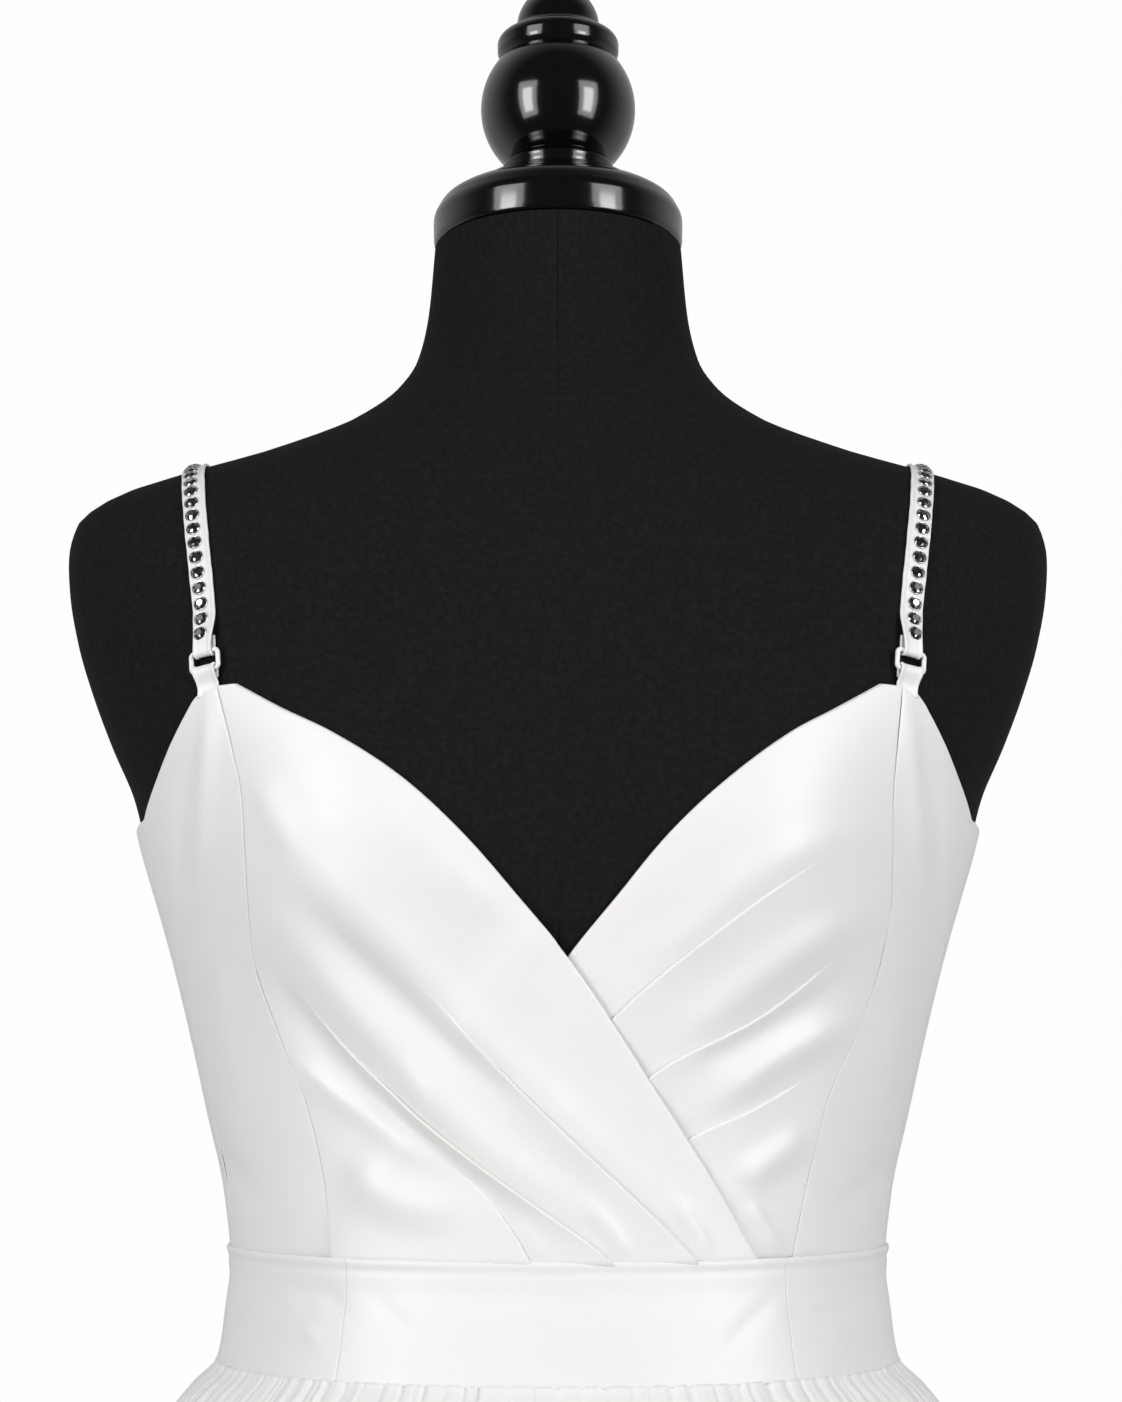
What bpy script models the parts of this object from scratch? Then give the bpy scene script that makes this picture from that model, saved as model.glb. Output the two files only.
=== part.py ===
"""Satin mini dress with a wrap front and a gathered skirt, worn by a limbless dress form on a stand.

Metres, +Z up, and the front faces -Y, so the wearer's right is at -X.  The origin is the middle of
the stand base's underside.  The tables give millimetres.
"""

import math

import bmesh
import bpy
import numpy as np
from mathutils import Vector

MM = 0.001
CREASE = math.radians(50)    # edges sharper than this show as edges

# Dress form: one row for each level, as a squared ellipse with its own depth to front and back.
FORM_SECTIONS = np.array([
    # height, half_width, front, back, squareness
    (735, 158.0, 100.0, 105.0, 2.10),
    (760, 163.0, 104.0, 110.0, 2.12),
    (800, 167.0, 109.0, 116.0, 2.15),
    (850, 166.0, 112.0, 117.0, 2.15),
    (900, 155.0, 110.0, 110.0, 2.12),
    (950, 138.0, 104.0, 100.0, 2.10),
    (980, 128.0, 100.0, 93.5, 2.10),
    (1000, 123.8, 98.0, 90.0, 2.10),
    (1020, 122.4, 97.0, 88.0, 2.10),
    (1050, 125.6, 98.5, 88.5, 2.10),
    (1080, 132.7, 102.0, 90.5, 2.10),
    (1110, 139.9, 106.5, 93.5, 2.10),
    (1140, 147.8, 111.5, 97.5, 2.14),
    (1160, 153.8, 114.5, 100.5, 2.18),
    (1180, 160.0, 116.0, 103.5, 2.25),
    (1200, 165.2, 114.5, 105.5, 2.40),
    (1220, 173.9, 111.0, 106.5, 2.60),
    (1240, 181.6, 106.5, 106.0, 2.80),
    (1260, 187.9, 101.5, 104.0, 2.90),
    (1280, 192.0, 96.0, 101.0, 2.90),
    (1296, 193.4, 91.0, 97.0, 2.75),
    (1308, 191.5, 86.5, 93.0, 2.55),
    (1317, 182.5, 83.0, 90.0, 2.35),
    (1325, 162.0, 79.5, 87.0, 2.20),
    (1335, 128.0, 75.0, 82.0, 2.10),
    (1350, 88.0, 69.0, 75.0, 2.05),
    (1366, 66.0, 62.0, 67.0, 2.00),
    (1380, 57.0, 56.5, 60.0, 2.00),
    (1400, 52.5, 52.0, 54.0, 2.00),
    (1429, 50.0, 50.0, 50.0, 2.00),
])
BUST = {"x": 86.0, "z": 1172.0, "wide": 52.0, "above": 72.0, "below": 52.0, "proud": 17.0}
FORM_LEVELS = (735, 770, 810, 850, 895, 935, 965, 984, 1000, 1014, 1028, 1043, 1060, 1082, 1106, 1130,
               1152, 1172, 1192, 1212, 1232, 1254, 1276, 1293, 1304, 1312, 1318, 1325, 1334, 1344, 1356,
               1372, 1396, 1429)
FORM_COLUMNS = 42

# Turned neck cap with its ball finial, from the top down its outer side, then across the underside.
BALL = {"radius": 31.7, "z": 1489.5, "under_collar": 0.6, "over_foot": 0.4}
CAP_TOP_PROFILE = ((0.0, 1541.5), (6.0, 1540.8), (11.0, 1538.4), (14.6, 1534.2), (16.6, 1529.0),
                   (17.2, 1524.6), (19.0, 1522.6), (23.4, 1520.6), (25.0, 1517.4), (24.9, 1514.0),
                   (23.8, 1511.6))
CAP_FOOT_PROFILE = ((20.6, 1465.6), (22.6, 1464.4), (21.6, 1461.0), (24.0, 1459.0), (31.0, 1457.2),
                    (34.0, 1454.4), (42.0, 1451.4), (47.4, 1447.8), (50.2, 1443.0), (50.6, 1440.0),
                    (50.6, 1432.4), (49.0, 1429.3), (0.0, 1429.3))

POLE_RADIUS = 12.5
BASE_PROFILE = ((0.0, 40.0), (20.5, 40.0), (22.6, 37.0), (23.0, 25.0), (30.0, 18.0), (148.0, 10.5),
                (158.0, 7.5), (160.0, 3.0), (158.5, 0.0), (0.0, 0.0))
BASE_STEPS = 40
CAP_STEPS = 28

# Cloth
SEAM = 0.3            # gap between neighbouring pieces
SEAM_ANGLE = 0.0015   # half of that gap, for a seam at a set angle round the body
CLEAR = 1.1           # from the form to the cloth that lies on it
WALL = 1.3
BAND_WALL = 1.8
SKIRT_WALL = 1.6

# The waist seam lies in a plane that tips down to the front.
WAIST = {"z": 1031.6, "tilt": 0.085, "band": 44.5, "front_lift": 1.6}
SIDE_ANGLE = math.radians(76)
BACK_ANGLE = math.pi
BODICE_SIDE_TOP = 1189.0
BODICE_BACK_TOP = 1193.0
BODICE_BACK_DIP = 3.0
ZIP_ANGLE = 0.004     # half of the gap between the backs, where the zip's teeth run
BAND_SEAMS = {"z": 1003.0, "right": -73.8, "left": 80.0}
BAND_PROFILE = np.array([
    # share of the height, crown
    (0.00, 0.00),
    (0.12, 0.45),
    (0.50, 0.60),
    (0.88, 0.45),
    (1.00, 0.00),
])

# Front seams: where each seam is, out from the middle, on the wearer's right and left.
FRONT_SEAMS = np.array([
    # height, right, left
    (1026, 79.3, 83.2),
    (1055, 83.3, 89.6),
    (1083, 90.5, 97.0),
    (1106, 100.2, 107.8),
    (1134, 109.2, 117.0),
    (1157, 110.8, 120.4),
    (1187, 112.4, 120.4),
    (1206, 116.5, 122.0),
    (1231, 123.6, 125.0),
])
# The neck edges of both fronts.  Each crosses the middle just above 1130 and runs on to the waist,
# the right front's on top and the left front's hidden beneath it.
WRAP_EDGE = np.array([
    # height, right, left
    (1020, 74.0, -66.6),
    (1065, 46.1, -38.7),
    (1087, 32.0, -24.6),
    (1106, 20.1, -12.7),
    (1130, 3.7, 3.7),
    (1152, -15.0, 22.0),
    (1173, -34.0, 40.0),
    (1194, -57.5, 62.9),
    (1210, -81.5, 83.8),
    (1219, -98.0, 98.8),
    (1231, -117.5, 118.0),
])
PEAK_Z = 1230.0
WRAP_WAIST_X = 70.5   # where each neck edge meets the waist seam, past the middle
HEM_PROUD = 1.0       # the turned neck edge

# Knife pleats.  Each runs from the waist seam through two points to the front seam, and its folded
# edge faces the neck.  proud is how far the fold stands out at its strongest.
RIGHT_PLEATS = (
    # proud, waist_x, low_x, low_z, high_x, high_z, end_z
    (1.7, 48.2, -6.9, 1077.4, -65.0, 1136.4, 1168.0),
    (1.9, 19.3, -26.0, 1056.6, -74.0, 1098.5, 1144.0),
    (1.5, -9.2, -25.8, 1047.2, -54.2, 1068.0, 1094.0),
)
LEFT_PLEATS = (
    (1.3, 45.0, -19.1, 1107.7, -68.7, 1148.3, 1182.0),
    (1.5, 18.0, -31.6, 1087.3, -75.1, 1112.4, 1152.0),
    (1.4, -10.0, -45.4, 1065.8, -69.4, 1077.7, 1098.0),
)
PLEAT_STEP = 0.9      # width of the drop beside a folded edge
PLEAT_ROWS = 15
PLEAT_STATIONS = (0.22, 0.5, 0.78, 1.0)
# The right front lies over the left one: lifted less near the waist, and eased in beside its edge.
OVERLAP = {"lift": 2.7, "waist_lift": 1.9, "settle": 30.0, "full": 12.0, "ramp": 24.0}
HIDDEN_PLEAT = {"flattened": 0.75, "beside": 4.0, "ramp": 12.0}
GRID = {"side_columns": 8, "back_rows": 9, "back_columns": 12, "band_long": 13, "band_short": 6}

# Gathered skirt: how it spreads and waves below the band.
SKIRT = np.array([
    # drop, spread, gather, fold, wave
    (0, 0.0, 0.5, 0.0, 0.0),
    (9, 9.5, 1.9, 0.3, 0.0),
    (34, 27.0, 1.8, 1.6, 0.8),
    (90, 57.0, 1.2, 3.4, 3.5),
    (180, 88.0, 0.5, 4.0, 8.0),
    (295, 116.0, 0.0, 3.2, 12.5),
    (425, 143.0, 0.0, 2.4, 16.0),
])
GATHERS = 96
RIM_PROUD = 0.5
# No two folds are alike: some are deeper, and they lean a little to one side on their way down.
UNEVEN = {"depth": 0.42, "lean_fine": 0.018, "lean_broad": 0.022, "lean_by": 120.0, "shift": 1.6}

STRAP = {"x": 127.5, "shoulder_x": 141.0, "back_x": 96.0, "width": 9.2, "thick": 0.9, "clear": 0.5,
         "rises_in": 18.0, "narrows_in": 10.0, "points": 40}
STRAP_ARC = {"centre_z": 1225.0, "first": math.radians(11), "last": math.radians(188),
             "shoulder": 0.42, "top": 0.5}
# The fold of a strap or tab round a bar of its ring, and the steps of its tail behind.
LOOP = {"radius": 1.65, "width": 7.8, "tail": (3.0, 6.0)}
RING = {"width": 13.0, "height": 8.8, "wire": 0.8, "corner": 1.5, "proud": 2.8}
TAB = {"length": 9.5, "sink": 1.15, "sinks_in": 7.0}    # its foot comes down onto the bodice
# The concealed zip is closed: its slider sits at the top, and the pull hangs from the slider's bail.
ZIP = {"z": 1178.0, "width": 4.6, "depth": 2.6, "height": 9.0, "bail_wire": 0.45, "bail_half": 3.2,
       "bail_proud": 2.6, "bail_root": 0.8, "pivot_down": 0.6, "pivot_out": 1.1}
PULL = {"width": 4.8, "thick": 1.0, "bar": 0.5, "slot_width": 2.6, "slot_length": 3.5, "length": 20.0}

MATERIALS = {
    # name: base colour, roughness, metallic
    "satin": ((0.86, 0.86, 0.87), 0.35, 0.0),
    "form_cloth": ((0.012, 0.012, 0.013), 0.75, 0.0),
    "gloss_black": ((0.004, 0.004, 0.004), 0.08, 0.0),
    "stand_black": ((0.01, 0.01, 0.01), 0.3, 0.0),
    "white_ring": ((0.82, 0.82, 0.82), 0.2, 0.0),
    "zip_white": ((0.8, 0.8, 0.8), 0.3, 0.0),
}


# ---------------------------------------------------------------- numbers

def smooth_table(table, at):
    """A table's columns at the given values of its first one, on a smooth curve without overshoot."""
    keys, values = table[:, 0], table[:, 1:]
    at = np.clip(np.asarray(at, float), keys[0], keys[-1])
    span = np.diff(keys)[:, None]
    slope = np.diff(values, axis=0) / span
    tangent = np.zeros_like(values)
    total = slope[:-1] + slope[1:]
    same_way = slope[:-1] * slope[1:] > 0
    tangent[1:-1] = np.where(same_way, 2 * slope[:-1] * slope[1:] / np.where(total == 0, 1, total), 0)
    tangent[0], tangent[-1] = slope[0], slope[-1]
    row = np.clip(np.searchsorted(keys, at, side="right") - 1, 0, len(keys) - 2)
    u = ((at - keys[row]) / span[row, 0])[..., None]
    lower = values[row] * (1 + 2 * u) * (1 - u) ** 2 + tangent[row] * span[row] * u * (1 - u) ** 2
    upper = values[row + 1] * u * u * (3 - 2 * u) + tangent[row + 1] * span[row] * u * u * (u - 1)
    return np.moveaxis(lower + upper, -1, 0)


def ramp(value):
    """0 up to 0, 1 from 1 on, and smooth between."""
    value = np.clip(value, 0.0, 1.0)
    return value * value * (3 - 2 * value)


def through(points, count):
    """A smooth curve of count points through a few given ones, evenly spaced along it."""
    points = np.asarray(points, float)
    along = np.concatenate([[0], np.cumsum(np.linalg.norm(np.diff(points, axis=0), axis=1))])
    table = np.column_stack([along, points])
    fine = smooth_table(table, np.linspace(0, along[-1], 40 * count)).T
    reach = np.concatenate([[0], np.cumsum(np.linalg.norm(np.diff(fine, axis=0), axis=1))])
    even = np.linspace(0, reach[-1], count)
    return np.column_stack([np.interp(even, reach, fine[:, axis]) for axis in range(points.shape[1])])


# ---------------------------------------------------------------- the form's surface

def bust(x, z):
    """How far the bust stands out over the plain chest."""
    tall = np.where(z > BUST["z"], BUST["above"], BUST["below"])
    return BUST["proud"] * np.exp(-((np.abs(x) - BUST["x"]) / BUST["wide"]) ** 2
                                  - ((z - BUST["z"]) / tall) ** 2)


def torso(angle, z):
    """The form's surface; angle runs from the front, positive to the wearer's left."""
    angle, z = np.broadcast_arrays(np.asarray(angle, float), np.asarray(z, float))
    half_width, front, back, square = smooth_table(FORM_SECTIONS, z)
    sin, cos = np.sin(angle), np.cos(angle)
    x = half_width * np.sign(sin) * np.abs(sin) ** (2 / square)
    depth = np.where(cos > 0, front + bust(x, z), back)
    y = -depth * np.sign(cos) * np.abs(cos) ** (2 / square)
    return np.stack([x, y, z], axis=-1)


def outward(angle, z):
    """Unit normals of the form's surface."""
    small = 1e-3
    across = torso(angle + small, z) - torso(angle - small, z)
    up = torso(angle, z + 0.5) - torso(angle, z - 0.5)
    normal = np.cross(across, up)
    return normal / np.linalg.norm(normal, axis=-1, keepdims=True)


def over(angle, z, clear):
    """Points that lie clear of the form's surface by the given distance."""
    return torso(angle, z) + outward(angle, z) * np.asarray(clear)[..., None]


def angle_at(x, z):
    """The angle at which the front has the given x."""
    half_width, _, _, square = smooth_table(FORM_SECTIONS, z)
    share = np.clip(np.abs(x) / half_width, 0, 1)
    return np.sign(x) * np.arcsin(share ** (square / 2))


# ---------------------------------------------------------------- objects

def collection(name):
    made = bpy.data.collections.new(name)
    bpy.context.scene.collection.children.link(made)
    return made


def material(name, part):
    colour, roughness, metallic = MATERIALS[name]
    made = bpy.data.materials.new(part)
    made.use_nodes = True
    shader = made.node_tree.nodes["Principled BSDF"]
    shader.inputs["Base Color"].default_value = (*colour, 1)
    shader.inputs["Roughness"].default_value = roughness
    shader.inputs["Metallic"].default_value = metallic
    made.diffuse_color = (*colour, 1)
    return made


def place(name, mesh, look, keep):
    made = bpy.data.objects.new(name, mesh)
    mesh.materials.append(material(look, name))
    keep.objects.link(made)
    return made


def mesh_from(name, points, faces):
    """A smooth-shaded mesh in metres from points in millimetres, with its faces turned out."""
    shape = bmesh.new()
    corners = [shape.verts.new(Vector(point) * MM) for point in points]
    for face in faces:
        shape.faces.new([corners[index] for index in face])
    bmesh.ops.remove_doubles(shape, verts=shape.verts, dist=1e-6)
    bmesh.ops.recalc_face_normals(shape, faces=shape.faces)
    mesh = bpy.data.meshes.new(name)
    shape.to_mesh(mesh)
    shape.free()
    mesh.shade_smooth()
    mesh.set_sharp_from_angle(angle=CREASE)
    return mesh


def cloth(name, outer, inner, keep):
    """A closed wall between two grids of points, the outer and the inner face of a panel."""
    rows, columns = outer.shape[:2]
    count = rows * columns
    points = [*outer.reshape(-1, 3), *inner.reshape(-1, 3)]
    faces = []
    for row in range(rows - 1):
        for column in range(columns - 1):
            corner = row * columns + column
            loop = (corner, corner + 1, corner + columns + 1, corner + columns)
            faces.append(loop)
            faces.append(tuple(count + index for index in reversed(loop)))
    border = ([column for column in range(columns)]
              + [row * columns + columns - 1 for row in range(1, rows)]
              + [(rows - 1) * columns + column for column in range(columns - 2, -1, -1)]
              + [row * columns for row in range(rows - 2, 0, -1)])
    for here, there in zip(border, border[1:] + border[:1]):
        faces.append((there, here, count + here, count + there))
    # A side that shrinks to a point leaves faces with coinciding corners, which are dropped or trimmed.
    trimmed = []
    for face in faces:
        kept = [here for before, here in zip((face[-1], *face), face)
                if not np.allclose(points[here], points[before], atol=1e-6)]
        if len(kept) > 2:
            trimmed.append(kept)
    return place(name, mesh_from(name, points, trimmed), "satin", keep)


def turned(name, profile, look, steps, keep):
    """A turned solid from a half profile that runs from the top down its outer side."""
    outline = bmesh.new()
    corners = [outline.verts.new((radius * MM, 0, z * MM)) for radius, z in profile]
    for upper, lower in zip(corners, corners[1:]):
        outline.edges.new((upper, lower))
    mesh = bpy.data.meshes.new(name)
    outline.to_mesh(mesh)
    outline.free()
    made = place(name, mesh, look, keep)
    screw = made.modifiers.new("turn", "SCREW")
    screw.steps = screw.render_steps = steps
    screw.use_merge_vertices = True
    screw.merge_threshold = 0.00001
    screw.use_smooth_shade = True
    return made


# ---------------------------------------------------------------- form and stand

def make_form(keep):
    """The torso, closed flat at the neck and underneath."""
    angles = np.linspace(-math.pi, math.pi, FORM_COLUMNS, endpoint=False)
    rings = np.array([torso(angles, level) for level in FORM_LEVELS])
    faces = []
    for row in range(len(FORM_LEVELS) - 1):
        for column in range(FORM_COLUMNS):
            after = (column + 1) % FORM_COLUMNS
            here, above = row * FORM_COLUMNS, (row + 1) * FORM_COLUMNS
            faces.append((here + column, here + after, above + after, above + column))
    last = (len(FORM_LEVELS) - 1) * FORM_COLUMNS
    faces.append(list(range(FORM_COLUMNS)))
    faces.append([last + column for column in range(FORM_COLUMNS)])
    place("form_body", mesh_from("form_body", rings.reshape(-1, 3), faces), "form_cloth", keep)


def ball_arc(upper, lower, count):
    """The finial's ball between two heights."""
    start = math.acos((upper - BALL["z"]) / BALL["radius"])
    stop = math.acos((lower - BALL["z"]) / BALL["radius"])
    return [(BALL["radius"] * math.sin(turn), BALL["z"] + BALL["radius"] * math.cos(turn))
            for turn in np.linspace(start, stop, count)]


def make_cap_and_stand(keep):
    ball = ball_arc(CAP_TOP_PROFILE[-1][1] - BALL["under_collar"],
                    CAP_FOOT_PROFILE[0][1] + BALL["over_foot"], 9)
    turned("neck_cap", [*CAP_TOP_PROFILE, *ball, *CAP_FOOT_PROFILE], "gloss_black", CAP_STEPS, keep)
    top, bottom = FORM_SECTIONS[0, 0] - SEAM, BASE_PROFILE[0][1] + SEAM
    bpy.ops.mesh.primitive_cylinder_add(vertices=24, radius=POLE_RADIUS * MM, depth=(top - bottom) * MM,
                                        location=(0, 0, (top + bottom) / 2 * MM))
    pole = bpy.context.object
    pole.name = "stand_pole"
    pole.data.materials.append(material("stand_black", "stand_pole"))
    pole.data.shade_smooth()
    pole.data.set_sharp_from_angle(angle=CREASE)
    for holder in list(pole.users_collection):
        holder.objects.unlink(pole)
    keep.objects.link(pole)
    turned("stand_base", BASE_PROFILE, "stand_black", BASE_STEPS, keep)


# ---------------------------------------------------------------- bodice

def waist_z(angle):
    """Height of the waist seam round the body."""
    return WAIST["z"] + WAIST["tilt"] * torso(angle, WAIST["z"])[..., 1]


def wrap_x(z, side):
    """The neck edge of one front: side -1 is the wearer's right, 1 the left."""
    return smooth_table(WRAP_EDGE, z)[0 if side < 0 else 1]


def front_seam_x(z, side):
    return side * smooth_table(FRONT_SEAMS, z)[0 if side < 0 else 1]


def overlap_lift(x, z):
    """How far the top layer is lifted where the other front lies under it."""
    under = x - wrap_x(z, 1)
    low = (WAIST["z"] + OVERLAP["settle"] - z) / OVERLAP["settle"]
    lift = OVERLAP["lift"] + (OVERLAP["waist_lift"] - OVERLAP["lift"]) * ramp(low)
    return lift * ramp((under + OVERLAP["full"] + OVERLAP["ramp"]) / OVERLAP["ramp"])


def front_lines(side):
    """The grid lines of a front in (x, z), from its neck edge down to its lower outer corner.

    Returns the lines and, for each, how proud its outer points stand at the waist.
    """
    pleats = RIGHT_PLEATS if side < 0 else LEFT_PLEATS
    seam_gap = side * SEAM / 2
    corner_x = front_seam_x(FRONT_SEAMS[0, 0], side) - seam_gap

    def waist_point(x):
        return x, float(waist_z(angle_at(x, WAIST["z"]))) + SEAM

    def seam_point(z):
        return float(front_seam_x(z, side)) - seam_gap, z

    edge = [waist_point(-side * WRAP_WAIST_X), *[(float(wrap_x(z, side)), z) for z in WRAP_EDGE[1:-1, 0]],
            (float(wrap_x(PEAK_Z, side)), PEAK_Z)]
    lines, proud = [through(edge, PLEAT_ROWS)], [HEM_PROUD]
    for height, waist_x, low_x, low_z, high_x, high_z, end_z in pleats:
        flip = 1 if side < 0 else -1
        fold = through([waist_point(waist_x * flip), (low_x * flip, low_z), (high_x * flip, high_z),
                        seam_point(end_z)], PLEAT_ROWS)
        along = np.gradient(fold, axis=0)
        to_neck = np.column_stack([-along[:, 1], along[:, 0]]) * side
        to_neck /= np.linalg.norm(to_neck, axis=1, keepdims=True)
        lines += [fold + to_neck * PLEAT_STEP, fold]
        proud += [0.0, height]
    lines.append(np.tile(waist_point(corner_x), (PLEAT_ROWS, 1)))
    proud.append(0.0)
    # The border points stay on the seams: each step closes where its pleat dies at the front seam.
    for foot, fold in zip(lines[1:-1:2], lines[2:-1:2]):
        foot[0] = waist_point(foot[0, 0])
        foot[-1] = fold[-1]
    return lines, proud


def make_front(side, keep):
    """One wrap front with its knife pleats raised in the outer points."""
    lines, proud = front_lines(side)
    fade = 1 - np.linspace(0, 1, PLEAT_ROWS) ** 4
    columns, reliefs = [lines[0]], [proud[0] * fade]
    for index in range(len(lines) - 1):
        drop = proud[index] == 0
        for share in (1.0,) if drop else PLEAT_STATIONS:
            columns.append(lines[index] * (1 - share) + lines[index + 1] * share)
            height = proud[index + 1] if drop else proud[index] * (1 - share) ** 1.5
            reliefs.append(height * fade)
    grid = np.array(columns)
    relief = np.array(reliefs)
    # The last row is the front seam, below the short top edge that holds the ring's tab.
    top = len(PLEAT_STATIONS)
    grid[1:top + 1, -1, 1] = np.linspace(PEAK_Z, lines[1][-1, 1], top)
    grid[1:, -1, 0] = front_seam_x(grid[1:, -1, 1], side) - side * SEAM / 2
    x, z = grid[..., 0], grid[..., 1]
    angle = angle_at(x, z)
    clear = CLEAR + (overlap_lift(x, z) if side < 0 else 0 * x)
    if side > 0:
        hidden = ramp((wrap_x(z, -1) + HIDDEN_PLEAT["beside"] - x) / HIDDEN_PLEAT["ramp"])
        relief = relief * (1 - HIDDEN_PLEAT["flattened"] * hidden)
    name = "bodice_front_right" if side < 0 else "bodice_front_left"
    cloth(name, over(angle, z, clear + WALL + relief), over(angle, z, clear), keep)
    return np.unique(np.round(z[:, -1], 4))


def plain_panel(name, angle, z, keep):
    """A panel of even thickness that lies on the form."""
    clear = np.full(z.shape, CLEAR)
    cloth(name, over(angle, z, clear + WALL), over(angle, z, clear), keep)


def make_side(side, front_z, keep):
    """The panel between a front seam and the side seam, its top edge curved for the armhole.

    front_z holds the heights of the front's own points, so that the two edges stay parallel.
    """
    name = "bodice_side_right" if side < 0 else "bodice_side_left"
    start = np.abs(angle_at(front_seam_x(front_z, side) + side * SEAM / 2, front_z))
    stop = SIDE_ANGLE - SEAM_ANGLE
    rise = (front_z - front_z[0]) / (front_z[-1] - front_z[0])
    side_bottom = float(waist_z(stop)) + SEAM
    side_z = side_bottom + (BODICE_SIDE_TOP - side_bottom) * rise
    share = np.linspace(0, 1, GRID["side_columns"])
    angle = start[:, None] * (1 - share) + stop * share
    z = side_z[:, None] + (front_z - side_z)[:, None] * (1 - share) ** 1.5
    z[0] = waist_z(angle[0]) + SEAM
    plain_panel(name, angle * side, z, keep)


def back_top(angle):
    """Height of the back's top edge, which dips a little under the arm."""
    share = np.clip((np.abs(angle) - SIDE_ANGLE) / (BACK_ANGLE - SIDE_ANGLE), 0, 1)
    rise = (BODICE_BACK_TOP - BODICE_SIDE_TOP) * ramp(1.5 * share)
    return BODICE_SIDE_TOP + rise - BODICE_BACK_DIP * np.sin(math.pi * share)


def make_back(side, keep):
    """One back, from the side seam to the zip."""
    name = "bodice_back_right" if side < 0 else "bodice_back_left"
    angle = np.linspace(SIDE_ANGLE + SEAM_ANGLE, BACK_ANGLE - ZIP_ANGLE, GRID["back_columns"]) * side
    share = np.linspace(0, 1, GRID["back_rows"])[:, None]
    bottom = waist_z(angle) + SEAM
    z = bottom + (back_top(angle) - bottom) * share
    plain_panel(name, np.broadcast_to(angle, z.shape), z, keep)


# ---------------------------------------------------------------- waistband and skirt

def band_clear(angle):
    """The band stands off the form in front, over the layers of the wrap."""
    end, change = math.radians(62), math.radians(30)
    return CLEAR + WAIST["front_lift"] * ramp((end - np.abs(angle)) / change)


def make_band(name, first, last, columns, keep):
    """One piece of the waistband, between two angles."""
    angle = np.linspace(first + SEAM_ANGLE, last - SEAM_ANGLE, columns)
    share, crown = BAND_PROFILE[:, :1], BAND_PROFILE[:, 1:]
    z = waist_z(angle) - WAIST["band"] * share
    angle = np.broadcast_to(angle, z.shape)
    inner = over(angle, z, band_clear(angle))
    outer = over(angle, z, band_clear(angle) + BAND_WALL + crown)
    cloth(name, outer, inner, keep)


def make_bands(keep):
    right = float(angle_at(BAND_SEAMS["right"], BAND_SEAMS["z"]))
    left = float(angle_at(BAND_SEAMS["left"], BAND_SEAMS["z"]))
    make_band("waistband_front", right, left, GRID["band_long"], keep)
    make_band("waistband_side_right", -SIDE_ANGLE, right, GRID["band_short"], keep)
    make_band("waistband_side_left", left, SIDE_ANGLE, GRID["band_short"], keep)
    make_band("waistband_back_right", -BACK_ANGLE, -SIDE_ANGLE, GRID["band_long"], keep)
    make_band("waistband_back_left", SIDE_ANGLE, BACK_ANGLE, GRID["band_long"], keep)


def skirt_point(turn, drop):
    """The skirt's outer face: turn is the place round the waist, drop the depth below the band."""
    spread, gather, fold, wave = smooth_table(SKIRT, drop)
    uneven = 1 + UNEVEN["depth"] * np.sin(7 * turn + 0.6) * np.sin(3 * turn + 2.0)
    lean = UNEVEN["lean_fine"] * np.sin(11 * turn + 1.0) + UNEVEN["lean_broad"] * np.sin(5 * turn)
    angle = turn + lean * ramp(drop / UNEVEN["lean_by"])
    level = waist_z(angle) - WAIST["band"] - SEAM
    rim = over(angle, level, band_clear(angle) + SKIRT_WALL + RIM_PROUD)
    out = outward(angle, level)
    out[..., 2] = 0
    out /= np.linalg.norm(out, axis=-1, keepdims=True)
    stand = (spread + gather * uneven * np.cos(GATHERS * turn)
             + fold * uneven * np.cos(GATHERS / 2 * turn + 0.8)
             + wave * uneven * np.cos(GATHERS / 4 * turn + UNEVEN["shift"] * np.sin(3 * turn + 0.7)))
    point = rim + out * stand[..., None]
    point[..., 2] = level - drop
    return point, out


def make_skirt_piece(name, first, last, keep):
    """One skirt piece; first and last count half gathers round from the front."""
    turn = np.arange(first, last + 1) * math.pi / GATHERS
    turn[0] += SEAM_ANGLE
    turn[-1] -= SEAM_ANGLE
    drop, turn = np.meshgrid(SKIRT[:, 0], turn, indexing="ij")
    outer, out = skirt_point(turn, drop)
    cloth(name, outer, outer - out * SKIRT_WALL, keep)


def make_skirt(keep):
    side = round(SIDE_ANGLE / math.pi * GATHERS)
    make_skirt_piece("skirt_front", -side, side, keep)
    make_skirt_piece("skirt_back_right", -GATHERS, -side, keep)
    make_skirt_piece("skirt_back_left", side, GATHERS, keep)


# ---------------------------------------------------------------- straps, rings, tabs

def inside_form(x, y, z):
    if z > FORM_SECTIONS[-1, 0]:
        return False
    half_width, front, back, square = (float(value) for value in smooth_table(FORM_SECTIONS, z))
    depth = front + float(bust(np.array(x), np.array(z))) if y < 0 else back
    return (abs(x) / half_width) ** square + (abs(y) / depth) ** square < 1


def form_at(x, tilt):
    """The form's surface at a given x, seen from inside: tilt runs from the front over the shoulder."""
    near, far = 20.0, 160.0
    while far - near > 1e-7:
        middle = (near + far) / 2
        if inside_form(x, -middle * math.cos(tilt), STRAP_ARC["centre_z"] + middle * math.sin(tilt)):
            near = middle
        else:
            far = middle
    return np.array((x, -near * math.cos(tilt), STRAP_ARC["centre_z"] + near * math.sin(tilt)))


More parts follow.
